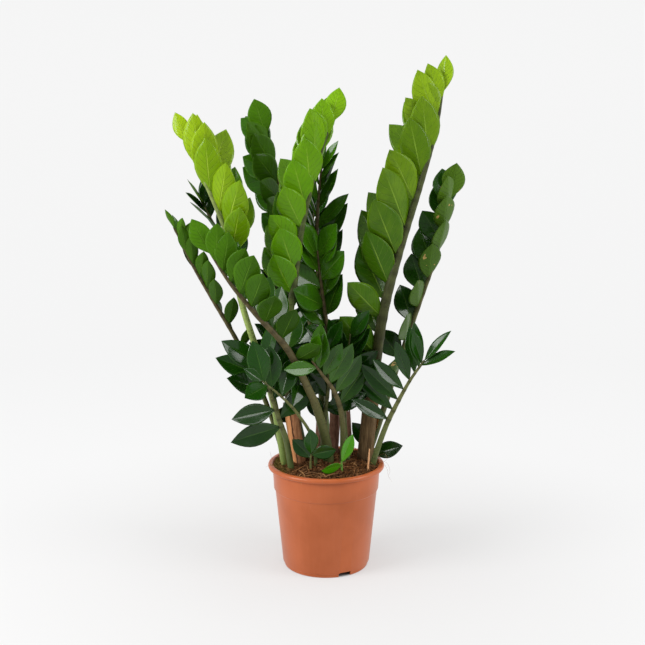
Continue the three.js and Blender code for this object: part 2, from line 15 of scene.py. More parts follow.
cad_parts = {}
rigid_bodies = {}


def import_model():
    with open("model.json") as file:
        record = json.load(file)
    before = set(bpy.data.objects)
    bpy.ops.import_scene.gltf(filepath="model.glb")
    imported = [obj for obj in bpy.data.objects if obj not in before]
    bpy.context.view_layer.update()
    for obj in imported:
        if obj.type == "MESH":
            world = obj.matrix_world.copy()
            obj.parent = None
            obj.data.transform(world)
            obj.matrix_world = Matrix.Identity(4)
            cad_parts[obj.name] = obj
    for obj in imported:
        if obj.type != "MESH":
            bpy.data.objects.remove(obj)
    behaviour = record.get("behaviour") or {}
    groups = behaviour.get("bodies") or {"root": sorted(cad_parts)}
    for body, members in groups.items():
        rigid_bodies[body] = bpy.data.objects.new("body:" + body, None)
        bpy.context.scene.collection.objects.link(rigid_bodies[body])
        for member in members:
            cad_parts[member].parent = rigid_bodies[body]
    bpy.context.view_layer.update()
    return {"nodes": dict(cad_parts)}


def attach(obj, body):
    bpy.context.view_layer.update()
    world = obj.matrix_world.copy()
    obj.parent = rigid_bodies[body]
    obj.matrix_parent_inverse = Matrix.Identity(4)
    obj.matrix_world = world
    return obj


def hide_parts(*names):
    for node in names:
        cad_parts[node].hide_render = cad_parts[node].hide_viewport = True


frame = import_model()
MM = 0.001

# ---- fronds
# The stems' paths in millimetres, from the foot in the soil to the tip, and how the leaflets sit:
# girth: stem radius at foot, middle and tip. first: where on the stem the leaflets start.
# leaf, slim: the longest leaflet, and its width over its length. small, last: the first and last
# leaflet over the longest. face: where the frond's upper side looks. out: degrees from the stem,
# first and last. fold: degrees that the two rows fold up. roll: turn of each blade on its axis.
FROND_COLUMNS = "name leafy girth first pairs leaf slim small last face out fold roll path".split()
FRONDS = [SimpleNamespace(**dict(zip(FROND_COLUMNS, row))) for row in [
    ("frond_right_tall", "tall", (11, 6.2, 1.5), 0.25, 12, 108, 0.5, 0.82, 0.52, (-1, 0.05, 0.25), (47, 33),
     64, 17, [(60, 10, 135), (74, 6, 285), (90, -6, 415), (115, -14, 520), (145, -15, 620), (168, -10, 702),
     (179, -5, 764)]),
    ("frond_centre_light", "lime", (9, 5.2, 1.6), 0.47, 11, 84, 0.6, 0.95, 0.62, (-1, -0.1, 0.2), (34, 30),
     62, 16, [(-38, -8, 135), (-58, -20, 280), (-60, -35, 390), (-50, -45, 470), (-35, -45, 570),
     (-13, -38, 656), (7, -27, 718)]),
    ("frond_left_light", "bright", (6.5, 4.8, 1.5), 0.62, 8, 92, 0.5, 0.9, 0.56, (0.8, 0, 0.6), (33, 30), 62,
     16, [(-62, -6, 135), (-84, -30, 280), (-108, -48, 365), (-132, -58, 450), (-150, -64, 545),
     (-184, -60, 630), (-212, -45, 688)]),
    ("frond_left_brown", "mid", (9.5, 5.6, 1.4), 0.53, 8, 70, 0.56, 0.85, 0.8, (0.7, 0.1, 0.6), (68, 42), 62,
     16, [(6, -16, 135), (2, -22, 200), (-12, -36, 262), (-28, -52, 306), (-60, -80, 376), (-106, -105, 434),
     (-142, -112, 480), (-172, -105, 525)]),
    ("frond_right_dark", "marked", (6, 4, 1.5), 0.34, 7, 70, 0.68, 0.85, 0.9, (-0.9, -0.35, 0.25), (46, 32),
     50, 18, [(58, 36, 135), (88, 40, 225), (122, 44, 335), (155, 52, 430), (184, 60, 514), (204, 68, 600)]),
    ("frond_right_low", "dark", (5.5, 4, 1.6), 0.42, 8, 82, 0.3, 0.9, 0.8, (0, -0.9, 0.4), (84, 26), 12, 20,
     [(72, -12, 135), (76, -12, 172), (95, -18, 234), (111, -30, 274), (131, -46, 318), (152, -58, 353)]),
    ("frond_front_left", "dark", (3, 2.4, 1.2), 0.5, 4, 70, 0.52, 0.9, 0.95, (0.2, -0.75, 0.6), (76, 40), 15,
     14, [(-16, -34, 135), (-20, -38, 215), (-44, -60, 267), (-70, -82, 302), (-98, -98, 330)]),
    ("frond_front_centre", "mid", (5.5, 4, 1.4), 0.42, 7, 74, 0.4, 0.95, 0.8, (0, -0.9, 0.4), (62, 34), 14,
     12, [(26, -18, 135), (27, -24, 215), (24, -32, 262), (12, -44, 301), (-8, -58, 333), (-22, -66, 354)]),
    ("frond_far_left", "mid", (4.5, 3.2, 1.2), 0.4, 9, 58, 0.4, 0.95, 0.62, (0.55, 0.35, 0.7), (40, 26), 30,
     14, [(-58, 18, 135), (-94, -8, 265), (-134, -36, 368), (-176, -56, 450), (-204, -70, 505),
     (-228, -80, 560)]),
    ("frond_low_left", "dark", (5.5, 4, 1.5), 0.44, 5, 88, 0.42, 0.95, 0.85, (0.1, -0.85, 0.5), (74, 34), 14,
     16, [(-52, -34, 135), (-62, -42, 213), (-74, -50, 255), (-90, -58, 310), (-98, -62, 352)]),
    ("frond_centre_dark", "mid", (6, 4, 1.4), 0.34, 8, 88, 0.34, 0.95, 0.52, (0.2, -0.85, 0.3), (36, 30), 30,
     24, [(10, 30, 135), (14, 32, 275), (-4, 28, 420), (-15, 22, 518), (-13, 18, 590), (-7, 20, 655)]),
    ("frond_centre_low", "mid", (6, 4, 1.5), 0.34, 7, 84, 0.58, 0.9, 0.8, (0, -0.9, 0.4), (46, 26), 28, 14,
     [(36, 26, 135), (30, 16, 260), (6, 0, 370), (-6, -8, 450), (-14, -12, 520)]),
    ("frond_left_mid", "mid", (6, 4.2, 1.5), 0.4, 8, 74, 0.64, 0.85, 0.85, (-0.9, -0.35, 0.25), (46, 34), 50,
     18, [(-14, 32, 135), (-8, 40, 285), (-34, 42, 440), (-60, 42, 560), (-80, 42, 636), (-96, 38, 700)]),
    ("frond_left_back", "dark", (4.5, 3.2, 1.2), 0.5, 7, 62, 0.36, 0.9, 0.8, (0.5, -0.6, 0.6), (50, 28), 30,
     14, [(-26, 52, 135), (-62, 50, 290), (-116, 54, 425), (-158, 62, 510), (-190, 66, 566),
     (-206, 64, 598)]),
    ("frond_front_dark", "dark", (4.5, 3.4, 1.3), 0.38, 5, 72, 0.46, 0.9, 0.9, (0.1, -0.8, 0.5), (50, 22),
     22, 12, [(-8, 0, 135), (-4, -6, 235), (4, -20, 310), (2, -36, 372)]),
    ("frond_low_right", "dark", (4.5, 3.4, 1.3), 0.4, 6, 74, 0.42, 0.9, 0.9, (0.1, -0.8, 0.5), (48, 22), 16,
     12, [(40, -4, 135), (30, -4, 235), (30, -16, 310), (38, -28, 390)]),
    ("frond_low_back", "dark", (4.5, 3.4, 1.3), 0.36, 6, 70, 0.46, 0.9, 0.9, (0.1, -0.8, 0.5), (62, 30), 22,
     12, [(-34, 24, 135), (-46, 20, 240), (-66, 10, 320), (-82, 2, 372)]),
    ("frond_back_left", "dark", (5.5, 4, 1.4), 0.36, 7, 78, 0.52, 0.7, 0.7, (0.2, -0.9, 0.5), (52, 30), 30,
     12, [(-48, 50, 135), (-50, 100, 260), (-70, 135, 365), (-90, 150, 455)]),
    ("frond_back_tall", "dark", (6, 4.2, 1.4), 0.36, 8, 78, 0.52, 0.7, 0.7, (0.1, -0.9, 0.4), (52, 30), 30,
     12, [(8, 66, 135), (-5, 100, 270), (-15, 130, 395), (-25, 150, 505), (-20, 150, 585)]),
    ("baby_shoot", "fresh", (2.2, 1.8, 1.2), 0.8, 1, 52, 0.46, 0.9, 0.5, (0.55, -0.8, 0.4), (92, -10), 12, 8,
     [(25, -54, 150), (25, -56, 174), (24, -58, 190)]),
    ("rim_shoot", "dark", (2.4, 2, 1.3), 0.7, 1, 60, 0.5, 0.9, 0.95, (-0.2, -0.9, 0.3), (66, 60), 8, 8,
     [(74, 22, 150), (75, 22, 170), (80, 25, 188)]),
    ("dark_shoot", "dark", (2.2, 1.8, 1.2), 0.8, 1, 46, 0.56, 0.95, 0.9, (0.1, -0.9, 0.4), (48, 70), 10, 10,
     [(-24, -46, 150), (-25, -47, 182), (-24, -50, 200)]),
]]
CROWD = 1.3
LAST_PAIR = 0.965
END_LEAFLET = 0.995
CURL = 0.05

# The bends that a leaflet tries where its natural place would cross a neighbour, in turn:
# degrees added to out, fold and roll, and its length over the natural one.
BENDS = [
    (0, 0, 0, 1), (0, 10, 0, 1), (0, -10, 0, 1), (8, 0, 0, 1), (-8, 0, 0, 1), (0, 0, 12, 1), (0, 0, -12, 1),
    (8, 14, 0, 1), (8, -14, 0, 1), (-8, 14, 0, 1), (-8, -14, 0, 1), (14, 0, 14, 0.9), (-14, 0, -14, 0.9),
    (14, 20, 0, 0.85), (-14, -20, 0, 0.85), (0, 24, 10, 0.85), (0, -24, -10, 0.85), (20, 0, 20, 0.85),
    (0, 0, 0, 0.7), (14, 0, 0, 0.7), (-14, 0, 0, 0.7), (0, 30, 0, 0.7), (0, -30, 0, 0.7), (0, 0, 24, 0.6),
    (0, 0, -24, 0.6), (10, 20, 20, 0.6), (-10, -20, -20, 0.6),
]


def mix(a, b, t):
    return a + (b - a) * t


def metres(points):
    return [Vector(point) * MM for point in points]


def wobble(n, k):
    """An even spread of values from -1 to 1, the same in every run."""
    return 2 * ((n * 0.618034 + k * 0.754878 + 0.5) % 1) - 1


def on_path(path, t):
    """A point of the smooth curve through the path's points."""
    last = len(path) - 1
    i = min(int(t * last), last - 1)
    w = t * last - i
    p1, p2 = path[i], path[i + 1]
    p0 = path[i - 1] if i else p1 * 2 - p2
    p3 = path[i + 2] if i + 2 <= last else p2 * 2 - p1
    t1, t2 = (p2 - p0) / 2, (p3 - p1) / 2
    return p1 + t1 * w + (p2 * 3 - p1 * 3 - t1 * 2 - t2) * w**2 + (p1 * 2 - p2 * 2 + t1 + t2) * w**3


def run_at(path, t, step):
    return (on_path(path, min(1, t + step)) - on_path(path, max(0, t - step))).normalized()


def on_stem(frond, t):
    """A place on the stem: its point, the way it runs, its upper side and its near side."""
    path = frond.stem
    run = run_at(path, t, 0.01)
    up = Vector(frond.face).normalized()
    up = (up - run * up.dot(run)).normalized()
    side = run.cross(up)
    return on_path(path, t), run, up, -side if side.y > 0 else side


def girth_at(frond, t):
    foot, middle, tip = frond.girth
    return MM * (mix(foot, middle, t * 2) if t < 0.5 else mix(middle, tip, t * 2 - 1))


def leaflet_place(frond, j, bend):
    """Where leaflet j sits: its place on the stem, its root, three axes and its length."""
    count = frond.pairs * 2 + 1
    end = j == count - 1
    q = j / (count - 1)
    n = frond.seed + j
    t = frond.first + (LAST_PAIR - frond.first) * (1 - (1 - min(1, j / (count - 2))) ** CROWD)
    t = END_LEAFLET if end else t
    root, run, up, near = on_stem(frond, t)
    side = -1 if j % 2 else 1
    out = math.radians(4 if end else mix(*frond.out, q) + 10 * wobble(n, 2) + bend[0])
    fold = math.radians(90 * round(frond.fold / 90) if end else frond.fold + 15 * wobble(n, 3) + bend[1])
    roll = math.radians(frond.roll + 15 * wobble(n, 4) + bend[2])
    if q < 0.4:
        grown = mix(frond.small, 1, math.sin(math.pi * min(1, q * 4) / 2))
    else:
        grown = 1 - (1 - frond.last) * ((q - 0.4) / 0.6) ** 1.2
    outward = near * (side * math.cos(fold)) + up * math.sin(fold)
    flat = near * (-side * math.sin(fold)) + up * math.cos(fold)
    along = run * math.cos(out) + outward * math.sin(out)
    lead = (run - along * along.dot(run)).normalized()
    across = lead * math.cos(roll) - flat * math.sin(roll)
    normal = flat * math.cos(roll) + lead * math.sin(roll)
    length = MM * frond.leaf * grown * (1 + 0.1 * wobble(n, 1)) * bend[3]
    return SimpleNamespace(
        t=t, q=q, n=n, root=root, along=along, across=across, normal=normal, length=length)


def half_width(s):
    return 4.732 * s**1.2 * (1 - s) ** 1.05


# Points of a leaflet that have to lie on the frame's own: along it, and across it from -1 to 1.
PROBES = ((0.54, 0), (0.8, 0), (0.995, 0), (0.54, 0.85), (0.54, -0.85))
PROBE_REACH = 0.9 * MM


def fits(place, slim, solid):
    """True where the frame's own leaflet lies in this place."""
    length = place.length

    def off(s, e):
        point = place.root + place.along * (s * length) - place.normal * (CURL * length * s * s)
        point = point + place.across * (e * half_width(s) * slim * length * 0.5)
        found = solid.find_nearest(point)
        return found[3] if found[0] else 1

    return all(off(s, e) < PROBE_REACH for s, e in PROBES)


def leaflets_of(frond):
    """The leaflets that the frame's frond has, each in the place that it took there."""
    mesh = frame["nodes"][frond.name].data
    corners = [tuple(polygon.vertices) for polygon in mesh.polygons]
    solid = BVHTree.FromPolygons([vert.co.copy() for vert in mesh.vertices], corners)
    found = []
    for j in range(frond.pairs * 2 + 1):
        for bend in BENDS:
            place = leaflet_place(frond, j, bend)
            if fits(place, frond.slim, solid):
                found.append(place)
                break
    return found


# ---- finishes
class Tone:
    """A node's output that takes part in arithmetic: every operator adds its Math node."""

    def __init__(self, made, socket):
        self.made, self.socket = made, socket

    def maths(self, operation, *values, clamp=False):
        settings = {"operation": operation, "use_clamp": clamp}
        return self.made.add("ShaderNodeMath", settings, dict(enumerate(values)))

    def size(self):
        return self.maths("ABSOLUTE", self)

    def rest(self):
        return self.maths("FRACT", self)

    def held(self):
        return self.maths("ADD", self, 0.0, clamp=True)

    def between(self, low, high):
        """0 under low, 1 over high, smooth between; the other way round where low is the larger."""
        flip = low > high
        return self.made.add("ShaderNodeMapRange", {"interpolation_type": "SMOOTHSTEP"}, {
            "Value": self, "From Min": min(low, high), "From Max": max(low, high),
            "To Min": float(flip), "To Max": float(not flip)}, "Result")


for sign, operation in ("add", "ADD"), ("sub", "SUBTRACT"), ("mul", "MULTIPLY"), ("pow", "POWER"):
    setattr(Tone, f"__{sign}__", lambda one, other, operation=operation: one.maths(operation, one, other))
    setattr(Tone, f"__r{sign}__", lambda one, other, operation=operation: one.maths(operation, other, one))


class Nodes:
    """A node tree as it is made. add() puts in any node: its type, its settings, then its sockets."""

    def add(self, kind, settings=(), sockets=(), output=0):
        node = self.tree.nodes.new(kind)
        for name, value in dict(settings).items():
            if name == "stops":
                ramp = node.color_ramp
                while len(ramp.elements) < len(value):
                    ramp.elements.new(1.0)
                for element, (place, colour) in zip(ramp.elements, value):
                    element.position, element.color = place, (*colour, 1)
            else:
                setattr(node, name, value)
        for name, value in dict(sockets).items():
            for one in value if isinstance(value, list) else [value]:
                self.put(node.inputs[name], one)
        return Tone(self, node.outputs[output])

    def put(self, socket, value):
        if isinstance(value, Tone):
            self.tree.links.new(value.socket, socket)
        elif isinstance(value, tuple) and len(value) == 3 and socket.type == "RGBA":
            socket.default_value = (*value, 1)
        else:
            socket.default_value = value


class Finish(Nodes):
    """A material."""

    def __init__(self, name):
        self.material = bpy.data.materials.new(name)
        self.material.use_nodes = True
        self.tree = self.material.node_tree
        self.tree.nodes.clear()

    def place(self):
        return self.add("ShaderNodeTexCoord", output="Object")

    def stretched(self, point, scale):
        return self.add("ShaderNodeMapping", sockets={"Vector": point, "Scale": scale})

    def attribute(self, name):
        return self.add("ShaderNodeAttribute", {"attribute_name": name}, output="Fac")

    def grain(self, point, scale, detail=2.0, roughness=0.5):
        return self.add("ShaderNodeTexNoise", sockets={
            "Vector": point, "Scale": scale, "Detail": detail, "Roughness": roughness})

    def part(self, vector, axis):
        return self.add("ShaderNodeSeparateXYZ", sockets={"Vector": vector}, output=axis)

    def blend(self, share, one, other):
        return self.add("ShaderNodeMix", {"data_type": "RGBA"}, {"Factor": share, 6: one, 7: other}, 2)

    def bump(self, height, depth, strength):
        return self.add("ShaderNodeBump", sockets={"Height": height, "Distance": depth, "Strength": strength})

    def surface(self, **sockets):
        shader = self.add("ShaderNodeBsdfPrincipled", sockets={
            name.replace("_", " "): value for name, value in sockets.items()})
        self.put(self.tree.nodes.new("ShaderNodeOutputMaterial").inputs["Surface"], shader)
        return self.material


def leaflet_finish(name, upper, under, rib, gloss, under_coat, scars=0.0, ripening=1.0):
    """Waxy leaflet: veins, pale midrib, lighter margin, a duller underside. upper and under: the old
    leaflets' colour and the young ones', which comes in along the frond, later where ripening is more."""
    made = Finish(name)
    blade = made.add("ShaderNodeUVMap", {"uv_map": "blade"})
    s, v = made.part(blade, "X"), made.part(blade, "Y")
    below = v.between(1.45, 1.55)
    e = ((v - below * 2) * 2 - 1).size()
    tone, age = made.attribute("tone"), made.attribute("age")
    place = made.place()
    blotch = made.grain(place, 38.0, 3.0)
    fine = made.grain(place, 260.0)

    midrib = e.between(0.06, 0.012) * s.between(1.0, 0.5)
    vein = ((s * 8.5 - e * 2.1 + blotch * 0.25).rest() - 0.5).size().between(0.1, 0.015)
    vein = vein * e.between(1.0, 0.75) * e.between(0.03, 0.12)
    margin = e.between(0.93, 1.0)

    ripe = (age * 0.9 + tone * 0.14 + (blotch - 0.5) * 0.5).held() ** ripening

    def skin(tones, *marks):
        colour = made.blend(ripe, *tones)
        for mark in marks:
            colour = made.blend(mark, colour, rib)
        return colour

    top = skin(upper, s.between(0.55, 0.0) * 0.12, vein * 0.1, midrib * 0.5, margin * 0.5)
    bottom = skin(under, vein * 0.1, midrib * 0.55, margin * 0.35)
    if scars:
        old_mark = made.grain(place, 62.0)
        ring = old_mark.between(0.655, 0.675) * old_mark.between(0.735, 0.71)
        bottom = made.blend(ring * scars, bottom, (0.42, 0.27, 0.09))

    relief = vein * -0.6 + midrib * -0.7 + fine * 0.1 + blotch * 1.8
    return made.surface(
        Base_Color=made.blend(below, top, bottom),
        Roughness=(fine - 0.5) * 0.12 + gloss + below * 0.16,
        Coat_Weight=1.0 - below * (1.0 - under_coat),
        Coat_Roughness=0.12,
        Coat_IOR=1.34,
        Specular_IOR_Level=0.04,
        Normal=made.bump(relief, 0.0014, 0.8),
    )


def stem_finish(name, low, high, fleck):
    """Olive stem, brown at the foot, with dark flecks and a dark ring at each leaflet."""
    made = Finish(name)
    place = made.place()
    climb, knot = made.attribute("climb"), made.attribute("knot")
    long_grain = made.grain(made.stretched(place, (1.0, 1.0, 0.12)), 420.0, 3.0)
    flecks = made.grain(made.stretched(place, (1.0, 1.0, 2.2)), 170.0).between(0.56, 0.66)
    shade = made.blend((climb * 1.7 + (long_grain - 0.5) * 0.7).held(), low, high)
    shade = made.blend(flecks * 0.45, shade, fleck)
    shade = made.blend(knot * 0.7, shade, fleck)
    return made.surface(
        Base_Color=shade,
        Roughness=long_grain * 0.2 + 0.38,
        Specular_IOR_Level=0.2,
        Normal=made.bump(long_grain + flecks * 0.5, 0.0006, 0.5),
    )


def sheath_finish(name, stops, seam=None):
    """Dry papery sheath: long fibres in these tones, and dark torn patches. seam: a split along it,
    with a lighter strip at its left: how much the split leans, where it is, and the strip's colour."""
    made = Finish(name)
    place = made.place()
    fibre = made.grain(made.stretched(place, (1.0, 1.0, 0.06)), 620.0, 4.0, 0.6)
    band = made.grain(made.stretched(place, (1.0, 1.0, 0.1)), 190.0)
    patch = made.grain(place, 45.0, 4.0, 0.6)
    tone = fibre * 0.6 + band * 0.35 + patch * 0.35 - 0.15
    shade = made.add("ShaderNodeValToRGB", {"stops": stops}, {"Fac": tone})
    if seam:
        lean, start, strip = seam
        across = made.part(place, "X") + made.part(place, "Z") * lean + start + (patch - 0.5) * 0.006
        split = across.between(-0.0042, -0.0032) * across.between(-0.0012, -0.0022)
        shade = made.blend(across.between(-0.0034, -0.0042) * (0.95 - fibre * 0.7), shade, strip)
        shade = made.blend(split * 0.9, shade, stops[0][1])
    return made.surface(
        Base_Color=shade, Roughness=0.72, Specular_IOR_Level=0.2,
        Normal=made.bump(fibre + band * 0.8 + patch * 0.6, 0.0018, 0.8))


def pot_finish():
    """Moulded terracotta-coloured plastic: satin, with faint clouds, draw lines and scuffs."""
    made = Finish("terracotta plastic")
    place = made.place()
    cloud = made.grain(place, 14.0, 4.0)
    pores = made.grain(place, 900.0)
    lines = made.grain(made.stretched(place, (1.0, 1.0, 0.05)), 120.0, 3.0)
    scuff = made.grain(made.stretched(place, (1.0, 1.0, 0.3)), 60.0, 6.0, 0.7).between(0.62, 0.74)
    shade = made.blend(cloud.between(0.35, 0.65), (0.39, 0.088, 0.02), (0.45, 0.108, 0.03))
    shade = made.blend((lines - 0.5).size() * 0.3, shade, (0.6, 0.18, 0.07))
    shade = made.blend(scuff * 0.12, shade, (0.74, 0.36, 0.22))
    return made.surface(
        Base_Color=shade,
        Roughness=(cloud - 0.5) * 0.12 + scuff * 0.12 + 0.35,
        Specular_IOR_Level=0.35,
        Normal=made.bump(pores * 0.4 + lines * 0.3, 0.0002, 0.5),
    )


def soil_finish(name, dark, light, scale=180.0):
    """Peat and coir in two tones, with olive moss on it at the left."""
    made = Finish(name)
    place = made.place()
    crumb = made.grain(place, scale, 6.0, 0.7)
    patch = made.grain(place, 30.0, 3.0)
    tone = made.attribute("tone")
    shade = made.blend((crumb * 0.9 + patch * 0.5 + tone * 0.6 - 0.55).held(), dark, light)
    moss = (made.part(place, "X") + patch * 0.05).between(-0.028, -0.048)
    shade = made.blend(moss * (crumb * 1.2).held(), shade, (0.105, 0.095, 0.018))
    return made.surface(
        Base_Color=shade, Roughness=0.92, Specular_IOR_Level=0.05,
        Normal=made.bump(crumb, 0.002, 0.9))


# ---- geometry node trees
class Tree(Nodes):
    """A geometry node tree, with named inputs beside its geometry."""

    def __init__(self, name, **inputs):
        self.tree = bpy.data.node_groups.new(name, "GeometryNodeTree")
        for way in ("INPUT", "OUTPUT"):
            self.tree.interface.new_socket("Geometry", in_out=way, socket_type="NodeSocketGeometry")
        self.ids = {}
        for label, kind in inputs.items():
            socket = self.tree.interface.new_socket(label, in_out="INPUT", socket_type="NodeSocket" + kind)
            self.ids[label] = socket.identifier
        self.inputs = self.tree.nodes.new("NodeGroupInput")
        self.output = self.tree.nodes.new("NodeGroupOutput")

    def given(self, label):
        return Tone(self, self.inputs.outputs[label])

    def named(self, name, kind):
        return self.add("GeometryNodeInputNamedAttribute", {"data_type": kind}, {"Name": name})

    def planted(self, points, forms, turn, **sockets):
        """The collection's forms, one on each point."""
        forms = self.add("GeometryNodeCollectionInfo", sockets={
            "Collection": forms, "Separate Children": True, "Reset Children": True})
        return self.add("GeometryNodeInstanceOnPoints", sockets={
            "Points": points, "Instance": forms, "Pick Instance": True,
            "Rotation": self.add("FunctionNodeEulerToRotation", sockets={"Euler": turn}),
            **{name.replace("_", " "): value for name, value in sockets.items()}})

    def dressed(self, geometry, finish):
        return self.add("GeometryNodeSetMaterial", sockets={"Geometry": geometry, "Material": finish})

    def finish(self, geometry):
        self.put(self.output.inputs[0], geometry)
        return self

    def grow(self, obj, **values):
        """Runs the tree on an object and returns the result as a plain mesh."""
        modifier = obj.modifiers.new("growth", "NODES")
        modifier.node_group = self.tree
        for label, value in values.items():
            modifier[self.ids[label]] = value
        bpy.context.view_layer.update()
        depsgraph = bpy.context.evaluated_depsgraph_get()
        mesh = bpy.data.meshes.new_from_object(
            obj.evaluated_get(depsgraph), preserve_all_data_layers=True, depsgraph=depsgraph)
        obj.modifiers.remove(modifier)
        return mesh


def frond_tree():
    """A stem swept along the frame's edges, and a leaflet on each of its loose points."""
    made = Tree("frond growth", Forms="Collection", Sides="Int", Stem="Material", Leaflet="Material")
    plan = made.given("Geometry")
    stem = made.add("GeometryNodeMeshToCurve", sockets={"Mesh": plan})
    section = made.add("GeometryNodeCurvePrimitiveCircle", sockets={
        "Resolution": made.given("Sides"), "Radius": 1.0})
    stem = made.add("GeometryNodeCurveToMesh", sockets={
        "Curve": stem, "Profile Curve": section, "Scale": made.named("girth", "FLOAT"), "Fill Caps": True})
    stem = made.dressed(stem, made.given("Stem"))

    roots = made.add("GeometryNodeSeparateGeometry", {"domain": "POINT"}, {
        "Geometry": plan, "Selection": made.named("leafy", "BOOLEAN")})
    leaflets = made.planted(
        roots, made.given("Forms"), made.named("turn", "FLOAT_VECTOR"),
        Instance_Index=made.named("form", "INT"), Scale=made.named("size", "FLOAT_VECTOR"))
    leaflets = made.add("GeometryNodeRealizeInstances", sockets={"Geometry": leaflets})
    leaflets = made.dressed(leaflets, made.given("Leaflet"))
    whole = made.add("GeometryNodeJoinGeometry", sockets={"Geometry": [leaflets, stem]})
    whole = made.add("GeometryNodeSetShadeSmooth", sockets={"Geometry": whole})
    return made.finish(whole)


def scatter_tree():
    """Small loose bits strewn over a surface, each turned and sized by chance with a fixed seed."""
    made = Tree("strewn bits", Bits="Collection", Amount="Float", Smallest="Float", Largest="Float",
                Tilt="Float", Seed="Int", Finish="Material")
    points = made.add("GeometryNodeDistributePointsOnFaces", {"distribute_method": "RANDOM"}, {
        "Mesh": made.given("Geometry"), "Density": made.given("Amount"), "Seed": made.given("Seed")})
    lean = made.add("ShaderNodeCombineXYZ", sockets={
        "X": made.given("Tilt"), "Y": made.given("Tilt"), "Z": math.pi})
    back = made.add("ShaderNodeVectorMath", {"operation": "SCALE"}, {"Vector": lean, "Scale": -1.0})
    turn = made.add("FunctionNodeRandomValue", {"data_type": "FLOAT_VECTOR"}, {
        "Min": back, "Max": lean, "Seed": made.given("Seed")})
    size = made.add("FunctionNodeRandomValue", {"data_type": "FLOAT"}, {
        2: made.given("Smallest"), 3: made.given("Largest"), "Seed": made.given("Seed")}, output=1)
    bits = made.planted(points, made.given("Bits"), turn, Scale=size)
    tone = made.add("FunctionNodeRandomValue", {"data_type": "FLOAT"}, output=1)
    bits = made.add("GeometryNodeStoreNamedAttribute", {"data_type": "FLOAT", "domain": "INSTANCE"}, {
        "Geometry": bits, "Name": "tone", "Value": tone})
    bits = made.add("GeometryNodeRealizeInstances", sockets={"Geometry": bits})
    return made.finish(made.dressed(bits, made.given("Finish")))


# ---- small mesh tools
def new_object(name, data, finish=None):
    obj = bpy.data.objects.new(name, data)
    bpy.context.scene.collection.objects.link(obj)
    if finish:
        data.materials.clear()
        data.materials.append(finish)
    return obj


def seat(obj, slot, *nodes):
    """The piece is part of the plant: it rides on the frame and stands for nodes, which it hides. slot is not
    used.
    """
    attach(obj, "root")
    if nodes:
        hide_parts(*nodes)


def forms_collection(name, meshes):
    shelf = bpy.data.collections.new(name)
    for i, mesh in enumerate(meshes):
        shelf.objects.link(bpy.data.objects.new(f"{name} {i:02d}", mesh))
    return shelf


def clear_away(shelf):
    for obj in list(shelf.objects):
        mesh = obj.data
        bpy.data.objects.remove(obj)
        bpy.data.meshes.remove(mesh)
    bpy.data.collections.remove(shelf)


def written(work, mesh):
    """Ends the work on a mesh: mesh is the one it goes to, or the name of a new one."""
    if isinstance(mesh, str):
        mesh = bpy.data.meshes.new(mesh)
    work.to_mesh(mesh)
    work.free()
    return mesh


def soften(mesh, angle):
    """Smooth shading, with edges sharper than the angle kept crisp."""
    work = bmesh.new()
    work.from_mesh(mesh)
    for face in work.faces:
        face.smooth = True
    for edge in work.edges:
        edge.smooth = len(edge.link_faces) != 2 or edge.calc_face_angle(0) < math.radians(angle)
    written(work, mesh)


def face_up(mesh):
    if mesh.polygons[0].normal.z < 0:
        mesh.flip_normals()


def rounds(count):
    return [2 * math.pi * i / count for i in range(count)]


def weld(work, reach):
    bmesh.ops.remove_doubles(work, verts=work.verts, dist=reach)
    bmesh.ops.dissolve_degenerate(work, dist=reach, edges=work.edges)


def cap(work):
    bmesh.ops.holes_fill(work, edges=[edge for edge in work.edges if edge.is_boundary])


def ring_mesh(name, rows, merge=1e-6, capped=False):
    """A mesh from rows of points, each row a closed ring; capped closes the first and the last."""
    work = bmesh.new()
    verts = [[work.verts.new(p) for p in row] for row in rows]
    wide = len(rows[0])
    for a, b in zip(verts, verts[1:]):
        for j in range(wide):
            k = (j + 1) % wide
            corners = []
            for vert in (a[j], a[k], b[k], b[j]):
                if vert not in corners:
                    corners.append(vert)
            work.faces.new(corners)
    weld(work, merge)
    if capped:
        cap(work)
    bmesh.ops.recalc_face_normals(work, faces=work.faces)
    return written(work, name)


def lathe(profile, sides):
    """A profile's rings round the Z axis."""
    return [[(r * math.cos(a), r * math.sin(a), z) for a in rounds(sides)] for r, z in profile]


def tube(name, path, steps, sides, section):
    """A tube along a path that closes to a point at both ends. section: its edge at t and an angle."""
    rows = [[on_path(path, i / steps) + section(i / steps, angle) for angle in rounds(sides)]
            for i in range(steps + 1)]
    return ring_mesh(name, [[path[0]] * sides] + rows + [[path[-1]] * sides])


# ---- leaflets and fronds
LEAF_ROWS = (0.0, 0.035, 0.09, 0.16, 0.25, 0.36, 0.47, 0.58, 0.68, 0.77, 0.85, 0.92, 0.97, 1.0)
LEAF_COLUMNS = (-1.0, -0.82, -0.5, -0.16, 0.0, 0.16, 0.5, 0.82, 1.0)
LEAF_FORMS = 6
LEAF_THICK = 0.008
LEAF_CUP = 0.06
ROOT_HALF = 0.024
LEAF_SHARE = 0.98


